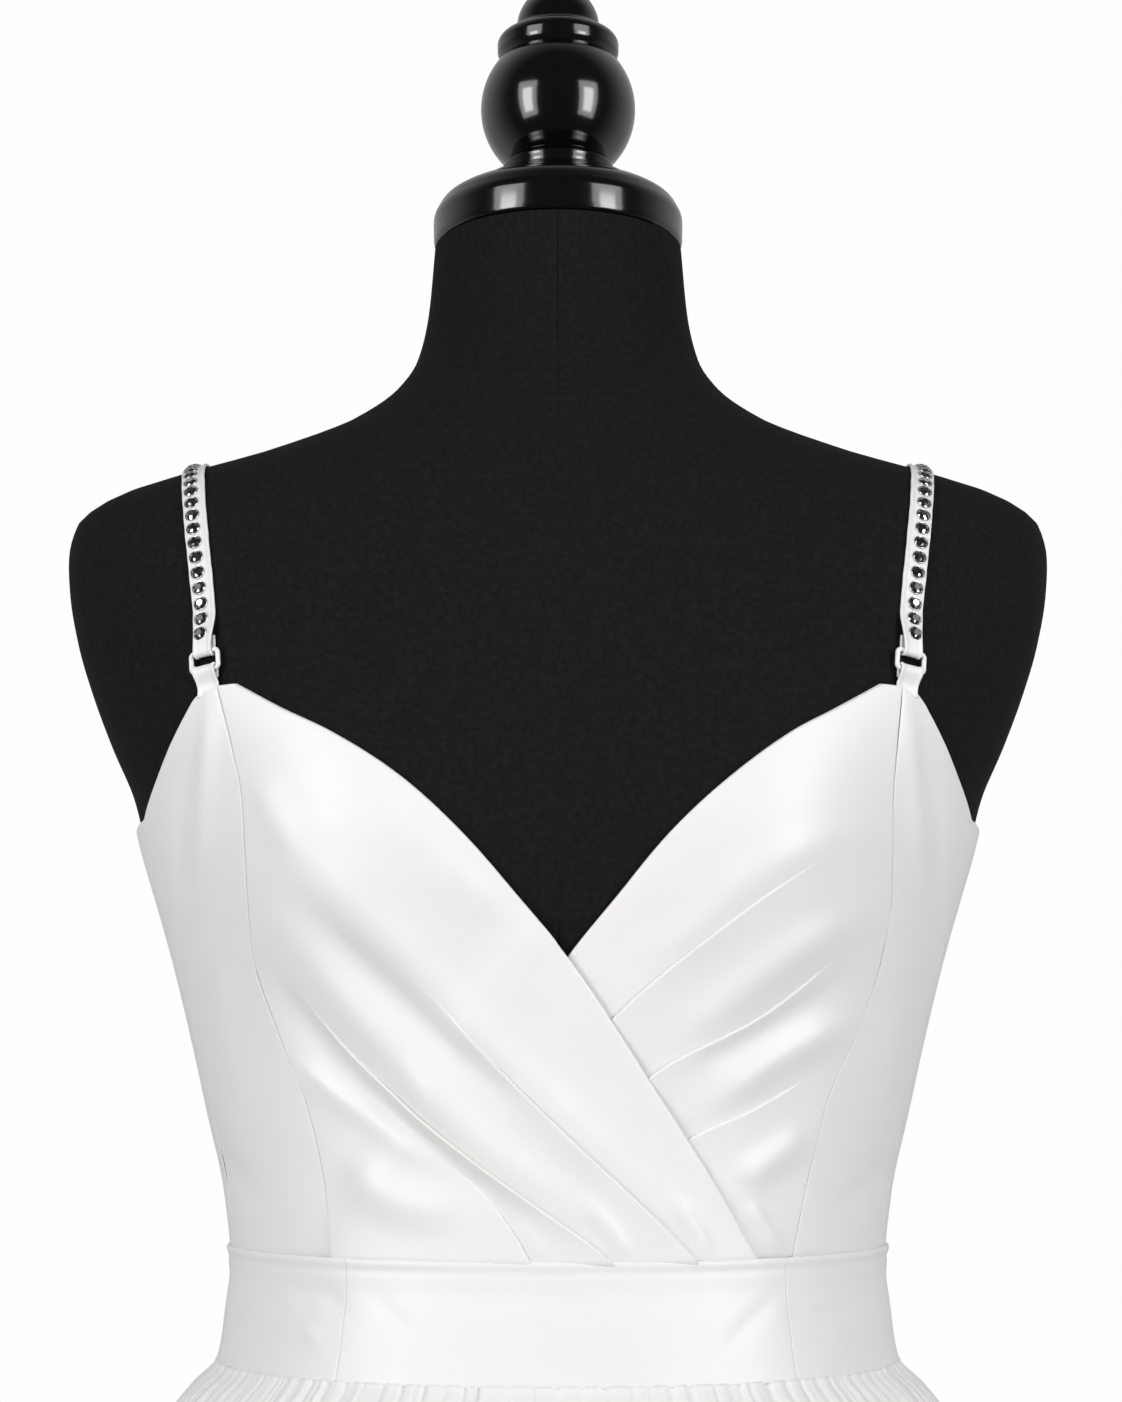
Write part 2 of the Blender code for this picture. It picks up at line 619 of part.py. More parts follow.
def strap_line(side):
    """Points on the form under the middle of a strap, from the ring over the shoulder to the back."""
    line = []
    for tilt in np.linspace(STRAP_ARC["first"], STRAP_ARC["last"], STRAP["points"]):
        share = tilt / math.pi
        front_part = ramp(share / STRAP_ARC["shoulder"])
        back_part = ramp((share - STRAP_ARC["top"]) / (1 - STRAP_ARC["top"]))
        x = STRAP["x"] + (STRAP["shoulder_x"] - STRAP["x"]) * front_part
        x += (STRAP["back_x"] - STRAP["shoulder_x"]) * back_part
        line.append(form_at(side * x, tilt))
    return np.array(line)


def frames_along(line):
    """Directions along a strap's line, out from the form and across the strap."""
    along = np.gradient(line, axis=0)
    along /= np.linalg.norm(along, axis=1, keepdims=True)
    step = 2.0
    out = []
    for (x, y, z), direction in zip(line, along):
        rise = z - STRAP_ARC["centre_z"]
        tilt = math.atan2(rise, -y)
        beside = form_at(x + step, tilt) - form_at(x - step, tilt)
        normal = np.cross(direction, beside)
        out.append(normal / np.linalg.norm(normal) * np.sign(normal @ np.array((0, y, rise))))
    out = np.array(out)
    return along, out, np.cross(along, out)


def ribbon(name, middle, out, across, widths, keep):
    """A flat strip along a line of points."""
    corners = []
    for point, normal, side, width in zip(middle, out, across, widths):
        for wide, high in ((-1, -1), (1, -1), (1, 1), (-1, 1)):
            corners.append(point + side * wide * width / 2 + normal * high * STRAP["thick"] / 2)
    faces = [(0, 1, 2, 3), tuple(4 * (len(middle) - 1) + index for index in (3, 2, 1, 0))]
    for step in range(len(middle) - 1):
        for index in range(4):
            here, after = 4 * step + index, 4 * step + (index + 1) % 4
            faces.append((here, after, after + 4, here + 4))
    return place(name, mesh_from(name, corners, faces), "satin", keep)


def loop_round(bar, start, turned_to, steps=6):
    """Points and outward directions of a half turn round a bar, from one direction to a second one."""
    turns = np.linspace(0, math.pi, steps + 1)[1:]
    out = [start * math.cos(turn) + turned_to * math.sin(turn) for turn in turns]
    return [bar + direction * LOOP["radius"] for direction in out], out


def make_straps(keep):
    """Each strap runs over the shoulder and folds round the upper bar of its ring."""
    rise = STRAP["clear"] + STRAP["thick"] / 2
    back_stop = float(back_top(math.pi - angle_at(STRAP["back_x"], BODICE_BACK_TOP))) + SEAM
    for side, name in ((-1, "strap_right"), (1, "strap_left")):
        line = strap_line(side)
        along, out, across = frames_along(line)
        bar = line[0] + out[0] * RING["proud"]
        reach = np.linalg.norm(line - line[0], axis=1)
        height = rise + (RING["proud"] + LOOP["radius"] - rise) * ramp(1 - reach / STRAP["rises_in"])
        kept = (line[:, 1] < 0) | (line[:, 2] > back_stop + 1)
        down = (line + out * height[:, None])[kept][::-1]
        fold, fold_out = loop_round(bar, out[0], -along[0])
        tail = [bar - out[0] * LOOP["radius"] + along[0] * step for step in LOOP["tail"]]
        normals = [*out[kept][::-1], *fold_out, -out[0], -out[0]]
        ends = len(fold) + len(tail)
        sides = [*across[kept][::-1], *[across[0]] * ends]
        narrow = ramp(1.4 - reach[kept][::-1] / STRAP["narrows_in"])
        widths = [*(STRAP["width"] + (LOOP["width"] - STRAP["width"]) * narrow), *[LOOP["width"]] * ends]
        ribbon(name, [*down, *fold, *tail], normals, sides, widths, keep)


def ring_outline(steps=4):
    """A rounded rectangle of points on the ring's middle line, in its own plane."""
    wide, tall, corner = (RING["width"] / 2 - RING["wire"], RING["height"] / 2 - RING["wire"],
                          RING["corner"])
    points = []
    for quarter, (sign_x, sign_y) in enumerate(((1, 1), (-1, 1), (-1, -1), (1, -1))):
        for turn in np.linspace(0, math.pi / 2, steps):
            angle = quarter * math.pi / 2 + turn
            points.append((sign_x * (wide - corner) + corner * math.cos(angle),
                           sign_y * (tall - corner) + corner * math.sin(angle)))
    return points


def make_rings_and_tabs(keep):
    """Each ring hangs in its strap, and a tab folded over its lower bar meets the bodice's peak."""
    for side, word in ((-1, "right"), (1, "left")):
        line = strap_line(side)
        along, out, across = frames_along(line)
        up, normal, beside = along[0], out[0], across[0]
        half = RING["height"] / 2 - RING["wire"]
        centre = line[0] + normal * RING["proud"] - up * half
        curve = bpy.data.curves.new(f"ring_{word}", "CURVE")
        curve.dimensions = "3D"
        curve.bevel_depth = RING["wire"] * MM
        curve.bevel_resolution = 2
        outline = ring_outline()
        spline = curve.splines.new("POLY")
        spline.points.add(len(outline) - 1)
        spline.use_cyclic_u = True
        for point, (wide, tall) in zip(spline.points, outline):
            point.co = (*((centre + beside * wide + up * tall) * MM), 1)
        place(f"ring_{word}", curve, "white_ring", keep)
        low_bar = centre - up * half
        front = []
        for step in (TAB["length"], TAB["sinks_in"], 4.0, 2.0, 0.0):
            height = LOOP["radius"] - TAB["sink"] * ramp(step / TAB["sinks_in"])
            front.append(low_bar + normal * height - up * step)
        fold, fold_out = loop_round(low_bar, normal, up)
        middle = [*front, *fold, low_bar - normal * LOOP["radius"] - up * LOOP["tail"][0]]
        normals = [*[normal] * len(front), *fold_out, -normal]
        count = len(middle)
        ribbon(f"tab_{word}", middle, normals, [beside] * count, [LOOP["width"]] * count, keep)


# ---------------------------------------------------------------- zip

def as_mesh(holder, keep):
    """A curve object made a closed mesh object, in place of the curve."""
    graph = bpy.context.evaluated_depsgraph_get()
    mesh = bpy.data.meshes.new_from_object(holder.evaluated_get(graph))
    shape = bmesh.new()
    shape.from_mesh(mesh)
    bmesh.ops.remove_doubles(shape, verts=shape.verts, dist=1e-6)
    shape.to_mesh(mesh)
    shape.free()
    made = bpy.data.objects.new(holder.name + "_cut", mesh)
    made.matrix_world = holder.matrix_world
    keep.objects.link(made)
    bpy.data.objects.remove(holder)
    return made


def tube_along(name, points, radius, keep):
    curve = bpy.data.curves.new(name, "CURVE")
    curve.dimensions = "3D"
    curve.bevel_depth = radius * MM
    curve.bevel_resolution = 2
    curve.use_fill_caps = True
    spline = curve.splines.new("POLY")
    spline.points.add(len(points) - 1)
    for corner, point in zip(spline.points, points):
        corner.co = (*(Vector(point) * MM), 1)
    made = bpy.data.objects.new(name, curve)
    keep.objects.link(made)
    return made


def capsule(half_width, top, bottom, steps=7):
    """An upright outline with round ends, as (across, up) points."""
    upper = [(half_width * math.cos(turn), top - half_width + half_width * math.sin(turn))
             for turn in np.linspace(0, math.pi, steps)]
    lower = [(-half_width * math.cos(turn), bottom + half_width - half_width * math.sin(turn))
             for turn in np.linspace(0, math.pi, steps)]
    return upper + lower


def make_zip(keep, cutters):
    angle = np.array(math.pi)
    out = outward(angle, np.array(ZIP["z"]))
    up = np.cross((1.0, 0.0, 0.0), out)
    up *= np.sign(up[2])
    face = over(angle, np.array(ZIP["z"]), CLEAR + WALL + SEAM + ZIP["depth"])

    bpy.ops.mesh.primitive_cube_add(size=1)
    slider = bpy.context.object
    slider.name = "zip_slider"
    slider.scale = (ZIP["width"] * MM, ZIP["depth"] * MM, ZIP["height"] * MM)
    slider.location = (face - out * ZIP["depth"] / 2) * MM
    slider.rotation_euler = (math.atan2(out[2], out[1]), 0, 0)
    bpy.ops.object.transform_apply(location=True, rotation=True, scale=True)
    for holder in list(slider.users_collection):
        holder.objects.unlink(slider)
    keep.objects.link(slider)
    slider.data.materials.append(material("zip_white", "zip_slider"))
    root = out * -ZIP["bail_root"]
    arch = [face + up * ZIP["bail_half"] * math.cos(turn) + out * ZIP["bail_proud"] * math.sin(turn)
            for turn in np.linspace(0, math.pi, 11)]
    arch = [arch[0] + root, *arch, arch[-1] + root]
    bail = as_mesh(tube_along("zip_bail", arch, ZIP["bail_wire"], cutters), cutters)
    bail.hide_render = True
    bail.display_type = "WIRE"
    join = slider.modifiers.new("bail", "BOOLEAN")
    join.operation = "UNION"
    join.object = bail

    pivot = face - up * ZIP["pivot_down"] + out * ZIP["pivot_out"]
    curve = bpy.data.curves.new("zip_pull", "CURVE")
    curve.dimensions = "2D"
    curve.fill_mode = "BOTH"
    curve.extrude = PULL["thick"] / 2 * MM
    slot_top = -PULL["bar"]
    for outline in (capsule(PULL["width"] / 2, PULL["bar"], -PULL["length"]),
                    capsule(PULL["slot_width"] / 2, slot_top, slot_top - PULL["slot_length"])):
        spline = curve.splines.new("POLY")
        spline.points.add(len(outline) - 1)
        spline.use_cyclic_u = True
        for corner, (across, rise) in zip(spline.points, outline):
            corner.co = (across * MM, rise * MM, 0, 1)
    pull = place("zip_pull", curve, "zip_white", keep)
    pull.location = pivot * MM
    pull.rotation_euler = (math.pi / 2, 0, 0)


def make_all():
    for old in list(bpy.data.objects):
        bpy.data.objects.remove(old)
    keep = collection("satin_mini_dress")
    cutters = collection("cutters")
    make_form(keep)
    make_cap_and_stand(keep)
    for side in (-1, 1):
        front_z = make_front(side, keep)
        make_side(side, front_z, keep)
        make_back(side, keep)
    make_bands(keep)
    make_skirt(keep)
    make_straps(keep)
    make_rings_and_tabs(keep)
    make_zip(keep, cutters)


make_all()
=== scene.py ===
"""The looks of a white satin mini dress on a black dress form.

The tables give millimetres.  The front faces -Y, so the wearer's right is at -X.  Side -1 is the
wearer's right and side 1 the left.  Cloth is built as fine grids over the form's surface.
"""
import math

import bmesh
import bpy
import numpy as np
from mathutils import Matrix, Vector


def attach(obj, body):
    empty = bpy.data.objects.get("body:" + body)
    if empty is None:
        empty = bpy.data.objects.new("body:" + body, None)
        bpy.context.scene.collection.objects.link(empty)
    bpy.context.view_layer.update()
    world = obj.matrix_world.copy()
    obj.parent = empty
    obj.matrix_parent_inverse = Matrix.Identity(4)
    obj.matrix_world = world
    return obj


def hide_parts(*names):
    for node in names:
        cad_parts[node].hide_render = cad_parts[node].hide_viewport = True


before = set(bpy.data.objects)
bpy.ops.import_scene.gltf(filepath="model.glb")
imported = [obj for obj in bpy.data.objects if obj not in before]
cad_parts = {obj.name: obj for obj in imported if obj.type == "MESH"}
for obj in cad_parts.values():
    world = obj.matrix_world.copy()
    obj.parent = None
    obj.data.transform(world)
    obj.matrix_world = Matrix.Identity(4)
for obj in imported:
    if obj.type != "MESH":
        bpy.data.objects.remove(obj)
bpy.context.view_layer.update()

MM = 0.001
BODY = "dress_on_form"
SIDES = ((-1, "right"), (1, "left"))

# ---- sizes

FORM_SECTIONS = np.array([
    # height, half_width, front, back, squareness
    (735, 158, 100, 105, 2.10),
    (760, 163, 104, 110, 2.12),
    (800, 167, 109, 116, 2.15),
    (850, 166, 112, 117, 2.15),
    (900, 155, 110, 110, 2.12),
    (950, 138, 104, 100, 2.10),
    (980, 128, 100, 93.5, 2.10),
    (1000, 123.8, 98, 90, 2.10),
    (1020, 122.4, 97, 88, 2.10),
    (1050, 125.6, 98.5, 88.5, 2.10),
    (1080, 132.7, 102, 90.5, 2.10),
    (1110, 139.9, 106.5, 93.5, 2.10),
    (1140, 147.8, 111.5, 97.5, 2.14),
    (1160, 153.8, 114.5, 100.5, 2.18),
    (1180, 160, 116, 103.5, 2.25),
    (1200, 165.2, 114.5, 105.5, 2.40),
    (1220, 173.9, 111, 106.5, 2.60),
    (1240, 181.6, 106.5, 106, 2.80),
    (1260, 187.9, 101.5, 104, 2.90),
    (1280, 192, 96, 101, 2.90),
    (1296, 193.4, 91, 97, 2.75),
    (1308, 191.5, 86.5, 93, 2.55),
    (1317, 182.5, 83, 90, 2.35),
    (1325, 162, 79.5, 87, 2.20),
    (1335, 128, 75, 82, 2.10),
    (1350, 88, 69, 75, 2.05),
    (1366, 66, 62, 67, 2.00),
    (1380, 57, 56.5, 60, 2.00),
    (1400, 52.5, 52, 54, 2.00),
    (1429, 50, 50, 50, 2.00),
])
BUST = {"x": 86.0, "z": 1164.0, "wide": 52.0, "above": 76.0, "below": 48.0, "proud": 17.0}
CLEAR = 1.1           # room between the form and the dress
WALL = 1.3            # a bodice panel with its turned edges
BAND_WALL = 1.8
SKIRT_WALL = 1.6
CLOTH = 0.45          # thickness of one layer of the satin

WAIST = {"z": 1031.6, "tilt": 0.085, "band": 44.5, "front_lift": 1.6}
SIDE_ANGLE = math.radians(76)
ZIP_GAP = 0.0015      # from the middle of the back to the edge of each back, in radians
BODICE_SIDE_TOP = 1189.0
BODICE_BACK_TOP = 1193.0
BODICE_BACK_DIP = 3.0
PEAK_Z = 1230.0
WRAP_WAIST_X = 70.5
BAND_SEAMS = {"z": 1003.0, "right": -73.8, "left": 80.0}

FRONT_SEAMS = np.array([
    # height, right, left
    (1026, 79.3, 83.2),
    (1055, 83.3, 89.6),
    (1083, 90.5, 97.0),
    (1106, 100.2, 107.8),
    (1134, 109.2, 117.0),
    (1157, 110.8, 120.4),
    (1187, 112.4, 120.4),
    (1206, 116.5, 122.0),
    (1231, 123.6, 125.0),
])
WRAP_EDGE = np.array([
    # height, right, left
    (1020, 74.0, -66.6),
    (1065, 46.1, -38.7),
    (1087, 32.0, -24.6),
    (1106, 20.1, -12.7),
    (1130, 3.7, 3.7),
    (1152, -15.0, 22.0),
    (1173, -34.0, 40.0),
    (1194, -57.5, 62.9),
    (1210, -81.5, 83.8),
    (1219, -98.0, 98.8),
    (1231, -117.5, 118.0),
])
# The arm edge of a side panel, from the peak round to the side seam.
ARM_EDGE = np.array([
    # out from the middle, height
    (123.6, 1230.0),
    (131.9, 1228.2),
    (134.8, 1225.2),
    (137.3, 1221.3),
    (143.9, 1211.5),
    (149.7, 1202.1),
    (155.3, 1193.1),
    (157.5, 1189.0),
])
OVERLAP = {"lift": 2.7, "waist_lift": 1.9, "settle": 30.0, "full": 12.0, "ramp": 24.0}
# Under the overlap the left front's pleats are pressed flat, to this share, over this run.
PRESSED = {"share": 0.75, "from": 4.0, "over": 12.0}

# Knife pleats, from the waist seam through their points to the front seam.  The folded edge faces
# the neck, proud is how far it stands out, and from the share crisp on it softens and dies away.
RIGHT_PLEATS = (
    {"proud": 1.9, "end_z": 1168.0, "waist_x": 48.2, "crisp": 0.28,
     "middle": ((-6.9, 1077.4), (-65.0, 1136.4))},
    {"proud": 2.1, "end_z": 1144.0, "waist_x": 19.3, "crisp": 0.45,
     "middle": ((-26.0, 1056.6), (-74.0, 1098.5))},
    {"proud": 1.4, "end_z": 1094.0, "waist_x": -9.2, "crisp": 0.05,
     "middle": ((-25.8, 1047.2), (-54.2, 1068.0))},
)
LEFT_PLEATS = (
    {"proud": 1.6, "end_z": 1182.0, "waist_x": -45.0, "crisp": 0.50,
     "middle": ((19.1, 1107.7), (68.7, 1148.3))},
    {"proud": 1.8, "end_z": 1152.0, "waist_x": -18.0, "crisp": 0.50,
     "middle": ((31.6, 1087.3), (75.1, 1112.4))},
    {"proud": 1.7, "end_z": 1098.0, "waist_x": 10.0, "crisp": 0.50,
     "middle": ((45.4, 1065.8), (69.4, 1077.7))},
)
SOFTENS_OVER = 0.40
CLOSES_OVER = 0.02    # the last share of a pleat, where its lip runs out
# The rounded lip of a folded edge: steps from the foot hidden under it up to its crest.
LIP = (
    # toward the neck: where the fold is crisp, and where it has died away; share of the height
    (-0.15, 0.60, 0.00),
    (0.20, 0.42, 0.10),
    (0.45, 0.24, 0.34),
    (0.52, 0.06, 0.60),
    (0.38, -0.12, 0.84),
    (0.05, -0.30, 0.97),
    (-0.45, -0.48, 1.03),
)

FOLD_DEPTH = 1.6      # scales every soft fold
FOLD_ENDS = {"over": 0.3, "left": 0.2}    # a fold fades over this share of its route, to this share
# Soft folds in the front view: height (a trough's is negative), reach above, reach below, route.
RIGHT_FOLDS = (
    (1.9, 7, 9, ((-98, 1142), (-62.6, 1104.2), (-31.7, 1071), (0.8, 1043.5), (19.2, 1031.8))),
    (1.6, 7, 9, ((-92, 1166), (-62, 1140), (-30, 1106), (4, 1072), (34, 1044))),
    (-1.2, 5, 6, ((-92, 1150.3), (-62.4, 1122), (-26.1, 1089.3), (-8, 1074.7))),
    (-1.3, 4, 6, ((-104.9, 1127.7), (-74.4, 1091.9), (-39.9, 1062.3), (-28.9, 1052.8))),
    (0.8, 3, 5, ((-97.5, 1098.1), (-74.4, 1080.7), (-33.1, 1054.2))),
    (1.2, 7, 8, ((-77.4, 1061.4), (-54.2, 1044.6), (-28.8, 1038.8))),
    (0.9, 5, 8, ((-64.9, 1187.9), (-51, 1172.7), (-26, 1149.7), (-12.2, 1136.2))),
    (0.8, 6, 6, ((-108, 1196), (-100, 1180), (-92, 1166))),
    (0.7, 3, 3.5, ((54, 1024), (47, 1036), (40, 1046))),
    (0.8, 3, 3.5, ((25, 1023), (17, 1036), (8, 1046))),
    (0.5, 3, 3, ((-4, 1023), (-9, 1031), (-14, 1038))),
)
LEFT_FOLDS = (
    (1.5, 5, 7, ((108, 1112.5), (78.3, 1096.5), (49.5, 1076.2))),
    (1.2, 5, 6, ((90.4, 1070.8), (61.1, 1050.2))),
    (1.3, 6, 8, ((112, 1150), (80, 1131), (38, 1098))),
    (1.1, 6, 8, ((108, 1176), (76, 1164), (49.3, 1141.4), (26, 1120))),
    (-0.9, 4, 5, ((102, 1124), (72, 1105), (46, 1090))),
    (0.7, 3, 4, ((66, 1046), (74, 1034), (80, 1026))),
)
SIDE_FOLDS = (
    (0.9, 3, 4, ((-127.5, 1229), (-129, 1200), (-132, 1160))),
    (-0.7, 3, 4, ((-133, 1222), (-139, 1190), (-142, 1150))),
    (0.6, 6, 7, ((-126, 1150), (-124, 1120), (-117, 1080))),
    (-0.5, 4, 6, ((-128, 1070), (-118, 1055), (-104, 1044))),
    (0.8, 3, 4, ((127.5, 1229), (130, 1200), (134, 1160))),
    (-0.7, 3, 4, ((134, 1222), (141, 1186), (143, 1140))),
    (0.6, 6, 7, ((127, 1150), (125, 1120), (118, 1080))),
    (-0.5, 4, 6, ((126, 1066), (114, 1052), (100, 1042))),
)
# The wearer's left back; the right one mirrors it.
BACK_FOLDS = (
    (0.6, 5.0, 8.0, ((128, 1118), (96, 1098), (60, 1062))),
    (-0.5, 5.0, 6.0, ((118, 1092), (84, 1070), (52, 1044))),
    (0.5, 4.0, 7.0, ((40, 1168), (34, 1120), (22, 1064))),
    (-0.4, 4.0, 5.0, ((84, 1180), (78, 1140), (66, 1104))),
)
BAND_FOLDS = (
    (-0.40, 4, 5, ((-98, 1006), (-86, 1012), (-73, 1004))),
    (-0.35, 3, 4, ((-66, 1012), (-58, 1004), (-48, 997))),
    (0.30, 3, 3, ((-92, 1001), (-84, 994))),
    (-0.40, 4, 5, ((78, 1010), (95, 1004), (110, 1009))),
    (-0.35, 3, 4, ((78, 1010), (69, 1003), (58, 992))),
    (0.30, 3, 3, ((96, 999), (106, 992))),
)

BAND = {"proud": 0.45, "radius": 112.0, "wave_radius": 110.0}
BAND_RELIEF = (
    # height; place and reach as shares of the band's height, from its top edge
    (-0.45, 0.27, 0.12),
    (0.25, 0.62, 0.20),
    (0.35, 0.035, 0.03),
    (-0.30, 0.10, 0.03),
)
BAND_PUCKERS = (
    # height, length of a wave, its seed, the share of the band in which it dies away
    (0.10, 3.4, 4.0, 0.10),
    (0.08, 3.0, 7.0, 0.07),
)
BAND_WOBBLE = {"height": 0.16, "wave": 6.0, "seed": 1.0, "dies_in": 0.12}

SKIRT = np.array([
    # drop, spread, gather, fold, wave
    (0, 0.0, 0.5, 0.0, 0.0),
    (9, 9.5, 1.9, 0.3, 0.0),
    (34, 27.0, 1.8, 1.6, 0.8),
    (90, 57.0, 1.2, 3.4, 3.5),
    (180, 88.0, 0.5, 4.0, 8.0),
    (295, 116.0, 0.0, 3.2, 12.5),
    (425, 143.0, 0.0, 2.4, 16.0),
])
SKIRT_GRID = {"round_waist": 1080, "seam_rows": (0, 0.35, 0.8, 1.5, 2.4, 3.5), "near_from": 5.0,
              "near_to": 60.0, "near_step": 1.8, "far_rows": 26, "hem_from": 22.0,
              "hem_rows": (20.5, 19.6, 19.0, 18.5, 18.0, 17.4, 16.5, 13, 9, 5, 2.4, 1.2, 0.5, 0.15, 0)}
GATHERS = 96          # two to a soft fold, four to a wave of the hem
GATHER = {"count": 108, "sharp": 0.42, "mean": 0.82, "depth": 1.05, "vary": 0.55,
          "seam": 1.6, "rise": 1.5, "full_at": 9.0, "share": 1.63}
HEM = {"turned_up": 18.5, "line": 0.35, "line_reach": 0.9, "pucker": 0.22, "pucker_waves": 190,
       "pucker_reach": 7.0, "roll": 0.5, "roll_reach": 0.4}
RIM_PROUD = 0.5
UNEVEN = {"depth": 0.42, "lean_fine": 0.018, "lean_broad": 0.022, "lean_by": 120.0, "shift": 1.6}

STRAP = {"x": 127.5, "shoulder_x": 141.0, "back_x": 96.0, "width": 9.2, "thick": 0.9, "clear": 0.5,
         "rises_in": 18.0, "narrows_in": 10.0, "points": 120}
STRAP_ARC = {"centre_z": 1225.0, "first": math.radians(11), "last": math.radians(188),
             "shoulder": 0.42, "top": 0.5}
STRAP_EDGE = {"roll": 0.62, "face": 0.30, "back": 0.40}
# The fold of a strap or tab round a bar of its ring, and the steps of its tail behind.
LOOP = {"radius": 1.65, "width": 7.8, "tail": (3.0, 6.0)}
RING = {"width": 13.0, "height": 8.8, "wire": 0.8, "enamel": 0.1, "corner": 1.5, "proud": 2.8}
# The tab runs in behind the bodice's peak.
TAB = {"steps": (9.5, 8.2, 7.0, 6.0, 5.0, 4.0, 3.0, 2.0, 1.0, 0.0), "width": 9.2, "sink": 3.2,
       "sinks_in": 6.0}
# The last two keys pick by turns which facets get the painted dark reflection.
STONE = {"radius": 2.75, "pitch": 6.6, "first": 4.5, "last": 8.0, "aside": 0.9, "up": 0.3,
         "sides": 12, "turn": 0.2, "painted_sparkle": 2.13, "painted_dark_above": -0.15}
STONE_RINGS = (
    # share of the radius, height, turn in facets: the girdle, two rows of facets, the flat table
    (0.93, 0.25, 0),
    (0.93, 0.55, 0),
    (0.74, 1.00, 0.5),
    (0.44, 1.38, 0),
)
CUP = {"sides": 20, "prong_every": 5, "prong": 0.16}
CUP_RINGS = (
    # share of the radius, height
    (1.00, 0.00),
    (1.03, 0.30),
    (1.00, 0.62),
    (0.93, 0.68),
    (0.88, 0.55),
)

ZIP_TEETH = {"low": 1040.0, "high": 1172.0, "pitch": 1.2, "sway": 0.18, "half_width": 0.55,
             "half_depth": 0.3, "half_height": 0.38, "sunk": 0.75}

CAMERA = {"place": (0.0012, -1.2, 1.02), "tip": math.radians(10.5), "focal_px": 3077.0,
          "sensor": 36.0, "long_side_px": 1402.0}


# ---- numbers

def smooth_table(table, at):
    """A table's columns at the given values of its first one, on a smooth curve without overshoot."""
    keys, values = table[:, 0], table[:, 1:]
    at = np.clip(np.asarray(at, float), keys[0], keys[-1])
    span = np.diff(keys)[:, None]
    slope = np.diff(values, axis=0) / span
    tangent = np.zeros_like(values)
    total = slope[:-1] + slope[1:]
    same_way = slope[:-1] * slope[1:] > 0
    tangent[1:-1] = np.where(same_way, 2 * slope[:-1] * slope[1:] / np.where(total == 0, 1, total), 0)
    tangent[0], tangent[-1] = slope[0], slope[-1]
    row = np.clip(np.searchsorted(keys, at, side="right") - 1, 0, len(keys) - 2)
    u = ((at - keys[row]) / span[row, 0])[..., None]
    lower = values[row] * (1 + 2 * u) * (1 - u) ** 2 + tangent[row] * span[row] * u * (1 - u) ** 2
    upper = values[row + 1] * u * u * (3 - 2 * u) + tangent[row + 1] * span[row] * u * u * (u - 1)
    return np.moveaxis(lower + upper, -1, 0)


def ramp(value):
    """0 up to 0, 1 from 1 on, and smooth between."""
    value = np.clip(value, 0.0, 1.0)
    return value * value * (3 - 2 * value)


def along_curve(points, shares):
    """Points at the given shares of the length of a smooth curve through a few given ones."""
    points = np.asarray(points, float)
    reach = np.concatenate([[0], np.cumsum(np.linalg.norm(np.diff(points, axis=0), axis=1))])
    fine = smooth_table(np.column_stack([reach, points]), np.linspace(0, reach[-1], 600)).T
    reach = np.concatenate([[0], np.cumsum(np.linalg.norm(np.diff(fine, axis=0), axis=1))])
    return np.column_stack([np.interp(np.asarray(shares) * reach[-1], reach, fine[:, axis])
                            for axis in range(points.shape[1])])


def stations(length, step, edge=(0.0, 0.25, 0.55, 1.0, 1.6)):
    """Shares of a length: close together at both ends, where the cloth turns, and even between."""
    inner = np.linspace(edge[-1], length - edge[-1], max(3, round(length / step)))
    places = np.concatenate([edge[:-1], inner, length - np.array(edge[:-1])[::-1]])
    return places / length


def fold_height(x, z, folds):
    """The height that a table of soft folds adds at the given places in the front view."""
    total = np.zeros(np.shape(x))
    for height, neck_reach, far_reach, route in folds:
        line = along_curve(route, np.linspace(0, 1, 40))
        best = np.full(np.shape(x), 1e9)
        signed = np.zeros(np.shape(x))
        place = np.zeros(np.shape(x))
        for index in range(len(line) - 1):
            (x0, z0), (x1, z1) = line[index], line[index + 1]
            dx, dz = x1 - x0, z1 - z0
            share = np.clip(((x - x0) * dx + (z - z0) * dz) / (dx * dx + dz * dz), 0, 1)
            away_x, away_z = x - x0 - share * dx, z - z0 - share * dz
            distance = np.hypot(away_x, away_z)
            nearer = distance < best
            best = np.where(nearer, distance, best)
            signed = np.where(nearer, away_z, signed)
            place = np.where(nearer, (index + share) / (len(line) - 1), place)
        reach = np.where(signed > 0, neck_reach, far_reach)
        fade = ramp(place / FOLD_ENDS["over"]) * ramp((1 - place) / FOLD_ENDS["over"])
        fade = FOLD_ENDS["left"] + (1 - FOLD_ENDS["left"]) * fade
        total += FOLD_DEPTH * height * fade * np.exp(-(best / reach) ** 2)
    return total


def uneven(place, seed, waves=5):
    """A smooth irregular wave between about -1 and 1."""
    total = 0
    for index in range(waves):
        total = total + np.sin(place * (1.7 + 1.31 * index) + seed * (3.1 + 1.7 * index))
    return total / waves ** 0.5 / 1.2


# ---- the form's surface

def bust(x, z):
    """How far the bust stands out in front of the torso's section."""
    tall = np.where(z > BUST["z"], BUST["above"], BUST["below"])
    return BUST["proud"] * np.exp(-((np.abs(x) - BUST["x"]) / BUST["wide"]) ** 2
                                  - ((z - BUST["z"]) / tall) ** 2)


def torso(angle, z):
    """The form's surface; angle runs from the front, positive to the wearer's left."""
    angle, z = np.broadcast_arrays(np.asarray(angle, float), np.asarray(z, float))
    half_width, front, back, square = smooth_table(FORM_SECTIONS, z)
    sin, cos = np.sin(angle), np.cos(angle)
    x = half_width * np.sign(sin) * np.abs(sin) ** (2 / square)
    depth = np.where(cos > 0, front + bust(x, z), back)
    y = -depth * np.sign(cos) * np.abs(cos) ** (2 / square)
    return np.stack([x, y, z], axis=-1)


